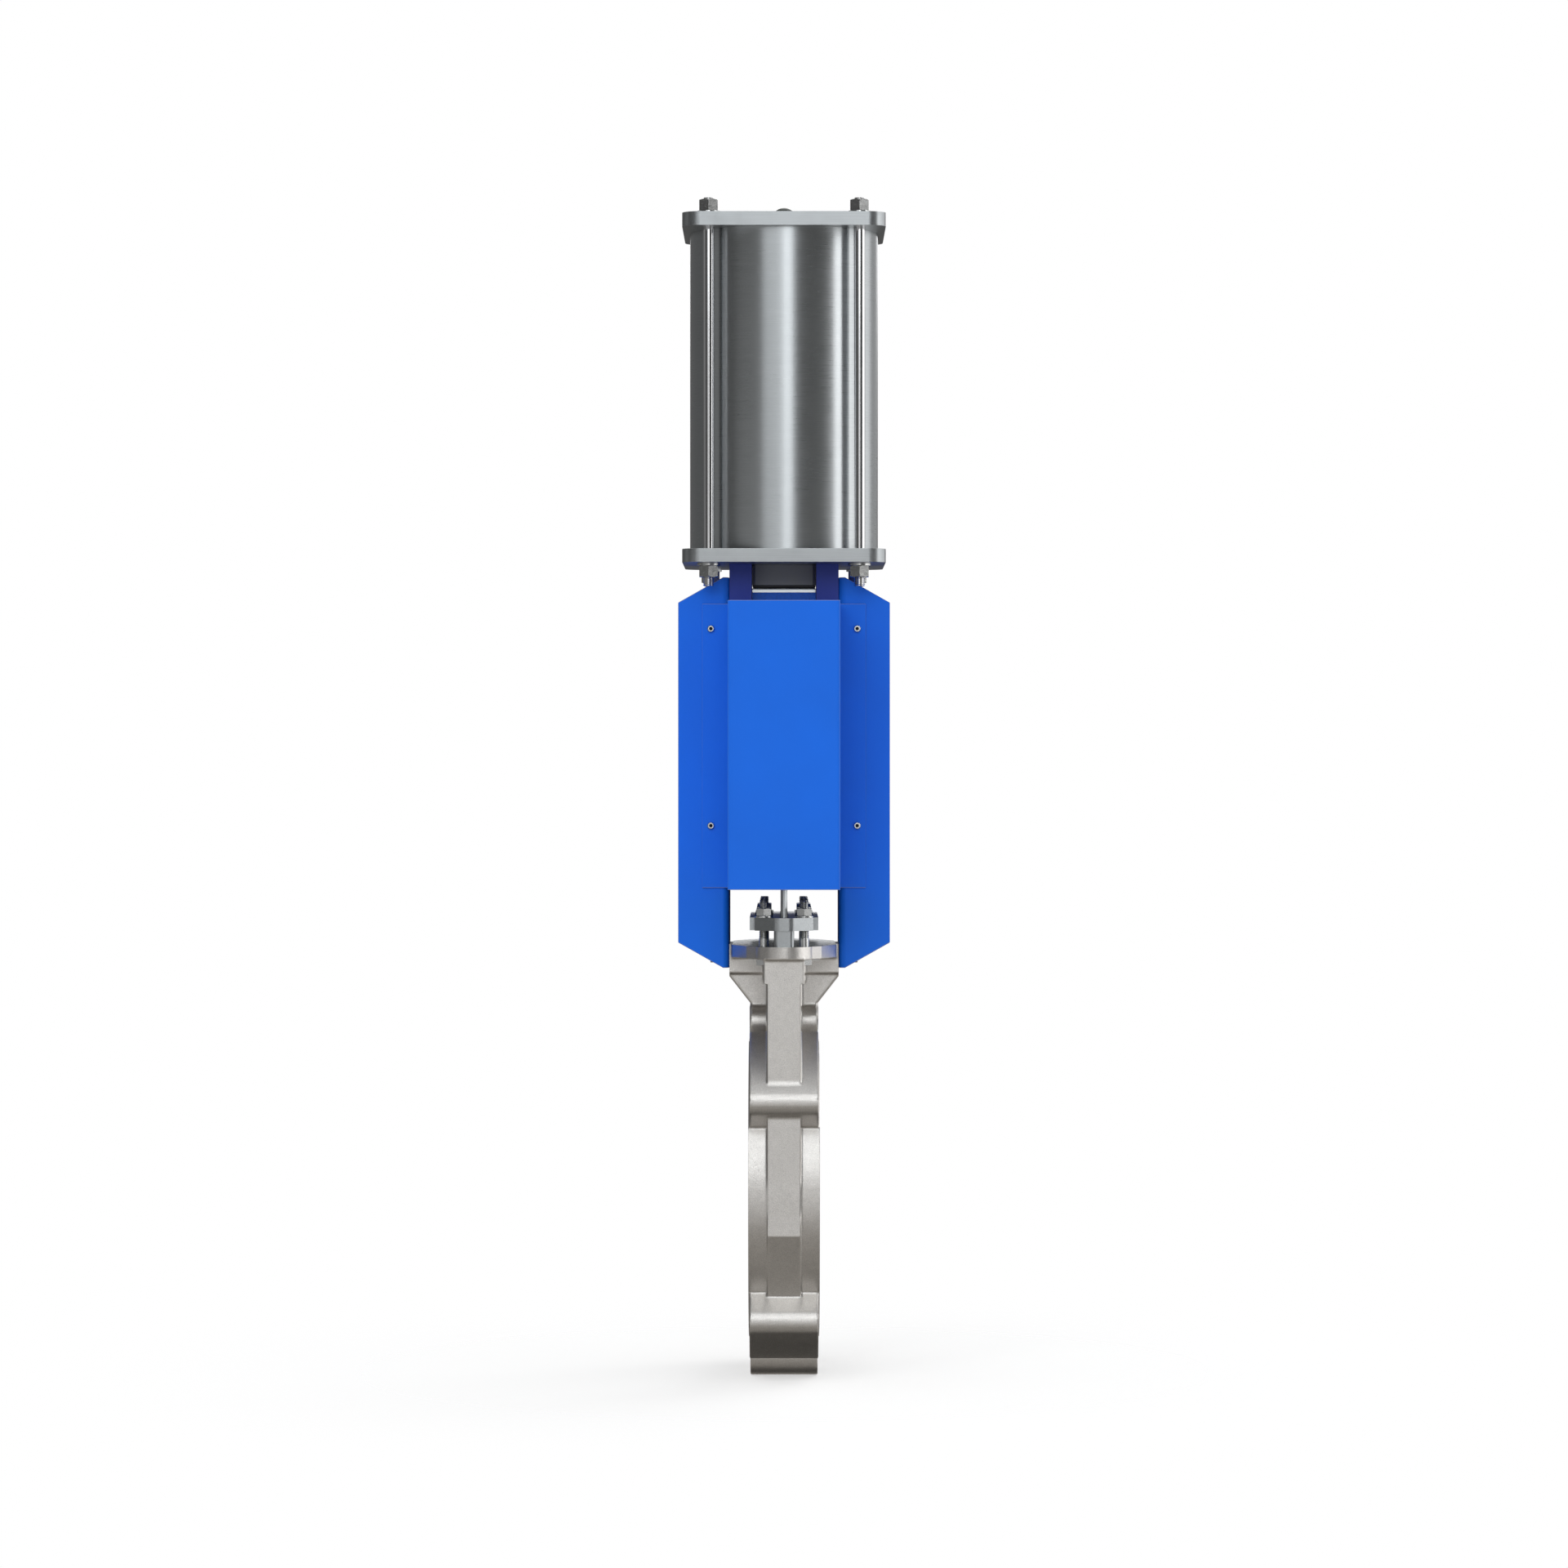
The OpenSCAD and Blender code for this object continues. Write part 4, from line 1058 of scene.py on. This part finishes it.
class VALVE_OT_yoke_fasteners(bpy.types.Operator):
    """Finish the studs, nuts and washers that hold the yoke plates"""

    bl_idname = "valve.yoke_fasteners"
    bl_label = "Yoke fasteners"

    def execute(self, context):
        s = context.scene.valve_steel
        for node in ("yoke_washers", "yoke_spring_washers", "yoke_nuts"):
            dress(node, "fastener_steel", 0.0002)
        bm = bmesh.new()
        for stretch in both_ways(30, 65.6):
            for y in STUD_Y:
                for z in STUD_Z:
                    shank(bm, "x", (y, z), STUD_R, *stretch, [stretch], s.tie_pitch / MM, s.around)
        piece = add_piece("yoke_studs_threaded", bm, FIXED, ["fastener_steel"], "yoke_studs")
        soften_edges(piece, 0, False)
        return {"FINISHED"}


class VALVE_OT_guards(bpy.types.Operator):
    """Fold the front and rear sheet guards"""

    bl_idname = "valve.guards"
    bl_label = "Guards"

    def execute(self, context):
        fold = context.scene.valve_sheet.guard_fold / MM
        half = GUARD_SHEET / 2
        x0, x1, y0, y1 = GUARD_X[0] - half, GUARD_X[1], YOKE_Y + half, GUARD_Y - half
        outline = bent_strip(
            [(-x1, -y0), (-x0, -y0), (-x0, -y1), (x0, -y1), (x0, -y0), (x1, -y0)], GUARD_SHEET, fold)
        for name, side in (("front", 1), ("rear", -1)):
            sheet, holes = bmesh.new(), bmesh.new()
            prism(sheet, [(px, side * py) for px, py in outline], "z", *GUARD_Z)
            piece = add_piece(f"guard_{name}_folded", sheet, FIXED, SHEET_FINISHES,
                              f"guard_{name}")
            for x in (-SCREW_X, SCREW_X):
                for z in SCREW_Z:
                    prism(holes, round_points(x, z, 2.2, 24), "y", *sorted((-side * 45, -side * 56)))
            cut_away(piece, [holes])
            # The bevels take finish 1, the paler coat that paints a highlight along the edges.
            soften_edges(piece, 0.0005, False, 3, 1)
        return {"FINISHED"}


class VALVE_OT_guard_screws(bpy.types.Operator):
    """Finish the small button screws of the guards"""

    bl_idname = "valve.guard_screws"
    bl_label = "Guard screws"

    def execute(self, context):
        dress("guard_screws", "socket_screw_steel", 0.00025)
        return {"FINISHED"}


class VALVE_OT_head_blocks(bpy.types.Operator):
    """Paint the head blocks blue, darkened with painted shade, and finish the rod guide between them"""

    bl_idname = "valve.head_blocks"
    bl_label = "Head blocks and rod guide"

    def execute(self, context):
        dress("head_blocks", "dark_block_paint", 0.0009)
        dress("block_screws", "fastener_steel", 0.0003)
        dress("rod_guide", "grey_guide_paint", 0.0006)
        dress("guide_screws", "fastener_steel", 0.0003)
        dress("rod_bush", "bearing_bronze", 0.0002)
        dress("rod_seal", "seal_rubber", 0.0003)
        dress("rod_wiper", "seal_rubber", 0.0003)
        return {"FINISHED"}


class VALVE_OT_heads(bpy.types.Operator):
    """Finish the two square cylinder heads"""

    bl_idname = "valve.heads"
    bl_label = "Cylinder heads"

    def execute(self, context):
        dress("lower_head", "brushed_head_plate", 0.0008)
        dress("upper_head", "brushed_head_plate", 0.0008)
        return {"FINISHED"}


class VALVE_OT_tube(bpy.types.Operator):
    """Polish the cylinder tube and lay its gaskets"""

    bl_idname = "valve.tube"
    bl_label = "Cylinder tube"

    def execute(self, context):
        dress("cylinder_tube", "belt_polished_tube", 0)
        dress("tube_gaskets", "seal_rubber", 0.0001)
        return {"FINISHED"}


class VALVE_OT_tie_rods(bpy.types.Operator):
    """Cut the tie rods' threaded ends and finish their nuts and washers"""

    bl_idname = "valve.tie_rods"
    bl_label = "Tie rods"

    def execute(self, context):
        s = context.scene.valve_steel
        dress("tie_rod_washers", "fastener_steel", 0.0002)
        dress("tie_rod_nuts", "fastener_steel", 0.0003)
        low, high = TIE_ROD_Z
        threads = [(low, 549), (858, high)]
        bm = bmesh.new()
        for x in TIE_ROD_XY:
            for y in TIE_ROD_XY:
                shank(bm, "z", (x, y), TIE_ROD_R, low, high, threads, s.tie_pitch / MM, s.around)
        piece = add_piece("tie_rods_threaded", bm, FIXED, ["polished_rod"], "tie_rods")
        soften_edges(piece, 0, False)
        return {"FINISHED"}


class VALVE_OT_top_plug(bpy.types.Operator):
    """Finish the domed plug in the upper head"""

    bl_idname = "valve.top_plug"
    bl_label = "Top plug"

    def execute(self, context):
        dress("top_plug", "plug_plastic", 0.0003)
        return {"FINISHED"}


class VALVE_OT_piston(bpy.types.Operator):
    """Finish the piston, its rod, seals and nut"""

    bl_idname = "valve.piston"
    bl_label = "Piston and rod"

    def execute(self, context):
        dress("piston", "milled_steel")
        dress("piston_seals", "seal_rubber", 0.0003)
        dress("piston_wear_ring", "guide_plastic", 0.0002)
        dress("piston_rod", "polished_rod")
        dress("piston_nut", "fastener_steel", 0.0003)
        return {"FINISHED"}


class VALVE_OT_coupling(bpy.types.Operator):
    """Finish the fork that joins the rod to the gate, and its bolts"""

    bl_idname = "valve.coupling"
    bl_label = "Coupling"

    def execute(self, context):
        dress("coupling", "coated_coupling", 0.0004)
        dress("coupling_bolts", "fastener_steel", 0.0003)
        dress("coupling_washers", "fastener_steel", 0.0002)
        dress("coupling_nuts", "fastener_steel", 0.0003)
        return {"FINISHED"}


class VALVE_OT_gate(bpy.types.Operator):
    """Grind the knife gate, with its broad bevel all round"""

    bl_idname = "valve.gate"
    bl_label = "Gate"

    def execute(self, context):
        bevel = context.scene.valve_steel.gate_bevel / MM
        gate, holes = bmesh.new(), bmesh.new()
        rings = []
        for x, inset in ((-GATE_X, bevel), (bevel - GATE_X, 0), (GATE_X - bevel, 0), (GATE_X, bevel)):
            half, top = GATE_R - inset, GATE_TOP - inset / 6
            outline = round_points(0, GATE_ARC_Z, half, 96, 180, 360) + [(half, top), (-half, top)]
            rings.append([gate.verts.new(placed("x", (0, 0), y, z, x)) for y, z in outline])
        skin(gate, rings)
        piece = add_piece("gate_ground", gate, MOVING, ["ground_gate_plate"], "gate")
        for y in PIN_Y:
            prism(holes, round_points(y, PIN_Z, PIN_HOLE_R, 48), "x", -9, 9)
        cut_away(piece, [holes])
        soften_edges(piece, 0, False)
        return {"FINISHED"}


# Stage


MIDDLE = Vector((0, 0, 0.35))


def softbox(name, azimuth, elevation, distance, size, power):
    """A soft lamp that faces the valve from an azimuth and elevation in degrees."""
    way = direction(azimuth, elevation)
    data = bpy.data.lights.new(name, "AREA")
    data.shape = "SQUARE"
    data.size = size
    data.energy = power * bpy.context.scene.valve_stage.lamp
    lamp = put_in_scene(name, data)
    lamp.location = MIDDLE + way * distance
    lamp.rotation_euler = (-way).to_track_quat("-Z", "Y").to_euler()
    lamp.visible_camera = False
    lamp.visible_glossy = False


def direction(azimuth, elevation):
    """Where a thing stands, seen from the valve. Azimuth 0 is the camera's side, 90 its right."""
    a, e = math.radians(azimuth), math.radians(elevation)
    return Vector((math.sin(a) * math.cos(e), -math.cos(a) * math.cos(e), math.sin(e)))


def panel(name, azimuths, elevations, level, tint=(1, 1, 1)):
    """A curved cloth panel round the set, which only reflections see."""
    distance, patch = 6, 8
    columns = max(1, round((azimuths[1] - azimuths[0]) / patch))
    rows = max(1, round((elevations[1] - elevations[0]) / patch))
    points = [MIDDLE + distance * direction(a, e)
              for e in np.linspace(*elevations, rows + 1) for a in np.linspace(*azimuths, columns + 1)]
    w = columns + 1
    faces = [(r * w + c, r * w + c + 1, (r + 1) * w + c + 1, (r + 1) * w + c)
             for r in range(rows) for c in range(columns)]
    mesh = bpy.data.meshes.new(name)
    mesh.from_pydata([tuple(p) for p in points], [], faces)
    made = put_in_scene(name, mesh)
    cloth = bpy.data.materials.new(name)
    add = node_adder(fresh_tree(cloth))
    glow = add("ShaderNodeEmission", {"Color": tint, "Strength": level})
    add("ShaderNodeOutputMaterial", {"Surface": glow[0]})
    cloth.cycles.emission_sampling = "NONE"
    mesh.materials.append(cloth)
    made.visible_camera = False
    made.visible_diffuse = False
    made.visible_shadow = False
    made.visible_transmission = False


def pale_room(scene, fill):
    """A white room for whoever looks, and a soft fill light for the valve."""
    world = bpy.data.worlds.new("pale_room")
    scene.world = world
    add = node_adder(fresh_tree(world))
    path = add("ShaderNodeLightPath")
    seen = path["Is Camera Ray"]
    for ray in ("Is Glossy Ray", "Is Transmission Ray"):
        seen = add("ShaderNodeMath", {0: seen, 1: path[ray]}, operation="MAXIMUM")[0]
    level = add("ShaderNodeMix", {0: seen, 2: fill, 3: 1.0})
    light = add("ShaderNodeBackground", {"Color": (1, 1, 1), "Strength": level[0]})
    add("ShaderNodeOutputWorld", {"Surface": light[0]})


def pale_floor():
    """A round floor that takes the valve's shadow and fades out into the white."""
    mesh = bpy.data.meshes.new("pale_floor")
    bm = bmesh.new()
    bmesh.ops.create_circle(bm, cap_ends=True, radius=1.6, segments=128)
    bmesh.ops.translate(bm, verts=bm.verts, vec=(0, 0, cad_box[0].z - 0.0005))
    bm.to_mesh(mesh)
    bm.free()
    floor = put_in_scene("pale_floor", mesh)
    mat = bpy.data.materials.new("pale_floor")
    add = node_adder(fresh_tree(mat))
    spot = add("ShaderNodeTexCoord")
    away = add("ShaderNodeVectorMath", {0: spot["Object"]}, operation="LENGTH")
    fade = add("ShaderNodeMapRange", {
        "Value": away["Value"], "From Min": 0.05, "From Max": 0.75, "To Min": 0.45, "To Max": 1.0,
    }, interpolation_type="SMOOTHSTEP")
    pale = add("ShaderNodeBsdfDiffuse", {"Color": (0.93, 0.93, 0.93)})
    clear = add("ShaderNodeBsdfTransparent")
    mix = add("ShaderNodeMixShader", {0: fade[0], 1: pale[0], 2: clear[0]})
    add("ShaderNodeOutputMaterial", {"Surface": mix[0]})
    mesh.materials.append(mat)
    floor.visible_glossy = False


COOL = (0.975, 1.0, 1.02)
WARM = (1.0, 0.95, 0.88)
PANELS = (
    ("front", (-26, -1), (-22, 9), 0.55),
    ("front_bright", (-1, 11), (-22, 9), 1.1),
    ("key", (-26, -1), (9, 60), 1.2, COOL),
    ("key_bright", (-1, 11), (9, 60), 3.1, COOL),
    ("right_dark", (11, 64), (-1, 60), 0.08),
    ("right_low", (11, 54), (-22, -1), 0.28),
    ("right_strip", (64, 77), (-1, 60), 2.6),
    ("right_strip_low", (54, 77), (-22, -1), 0.9),
    ("right_gap", (77, 80), (-22, 60), 0.4),
    ("right_bright", (80, 92), (-22, 60), 1.8),
    ("right", (92, 131), (-22, 60), 1.2),
    ("back_right", (131, 158), (-22, 60), 0.4),
    ("back_low", (158, 191), (-22, 0), 0.08),
    ("back", (158, 191), (0, 9), 0.2),
    ("back_key", (158, 191), (9, 60), 1.7),
    ("back_left", (191, 252), (-22, 60), 0.14),
    ("left", (252, 280), (-22, 60), 0.24),
    ("left_dark", (280, 334), (-1, 60), 0.09),
    ("left_low", (300, 334), (-22, -1), 0.7),
    ("left_low_dark", (280, 300), (-22, -1), 0.2),
    ("low", (0, 360), (-48, -22), 0.31, WARM),
    ("below_front", (-90, 90), (-75, -48), 0.26, WARM),
    ("below_back", (90, 270), (-75, -48), 0.05, WARM),
    ("floor", (0, 360), (-90, -75), 0.05, WARM),
    ("top_front", (-90, 90), (60, 90), 0.42),
    ("top_back", (90, 270), (60, 90), 0.14),
)


class VALVE_OT_stage(bpy.types.Operator):
    """Set up the pale floor, the soft lamps and the camera"""

    bl_idname = "valve.stage"
    bl_label = "Stage"

    def execute(self, context):
        scene = context.scene
        s = scene.valve_stage
        scene.view_settings.view_transform = "Standard"
        pale_room(scene, s.fill)
        pale_floor()
        softbox("lamp_front", -15, 34, 3.2, 2.4, 45)
        softbox("lamp_back", 146, 34, 3.2, 2.4, 44)
        for name, *settings in PANELS:
            panel(f"panel_{name}", *settings)
        data = bpy.data.cameras.new("camera")
        data.lens = s.lens
        data.sensor_width = 36
        data.clip_end = 60
        camera = put_in_scene("camera", data)
        camera.location = (0, -s.distance, s.height)
        camera.rotation_euler = (math.radians(90), 0, 0)
        scene.camera = camera
        return {"FINISHED"}


STEPS = (
    VALVE_OT_cast_body, VALVE_OT_seat, VALVE_OT_gland, VALVE_OT_yoke_plates, VALVE_OT_yoke_fasteners,
    VALVE_OT_guards, VALVE_OT_guard_screws, VALVE_OT_head_blocks, VALVE_OT_heads, VALVE_OT_tube,
    VALVE_OT_tie_rods, VALVE_OT_top_plug, VALVE_OT_piston, VALVE_OT_coupling, VALVE_OT_gate, VALVE_OT_stage,
)
SETTINGS = (
    ("valve_casting", CastingSettings), ("valve_sheet", SheetSettings), ("valve_steel", SteelSettings),
    ("valve_stage", StageSettings),
)


class VALVE_PT_panel(bpy.types.Panel):
    """The valve's settings and its making, step by step"""

    bl_label = "Knife gate valve"
    bl_idname = "VALVE_PT_panel"
    bl_space_type = "VIEW_3D"
    bl_region_type = "UI"
    bl_category = "Valve"

    def draw(self, context):
        layout = self.layout
        for name, group in SETTINGS:
            box = layout.box()
            box.label(text=group.__doc__)
            for key in group.__annotations__:
                box.prop(getattr(context.scene, name), key)
        for step in STEPS:
            layout.operator(step.bl_idname)


def register():
    for name, group in SETTINGS:
        bpy.utils.register_class(group)
        setattr(bpy.types.Scene, name, PointerProperty(type=group))
    for step in STEPS:
        bpy.utils.register_class(step)
    bpy.utils.register_class(VALVE_PT_panel)


def unregister():
    bpy.utils.unregister_class(VALVE_PT_panel)
    for step in reversed(STEPS):
        bpy.utils.unregister_class(step)
    for name, group in reversed(SETTINGS):
        delattr(bpy.types.Scene, name)
        bpy.utils.unregister_class(group)


def main():
    register()
    for step in STEPS:
        kind, name = step.bl_idname.split(".")
        getattr(getattr(bpy.ops, kind), name)()
    bpy.context.view_layer.update()


if __name__ == "__main__":
    main()
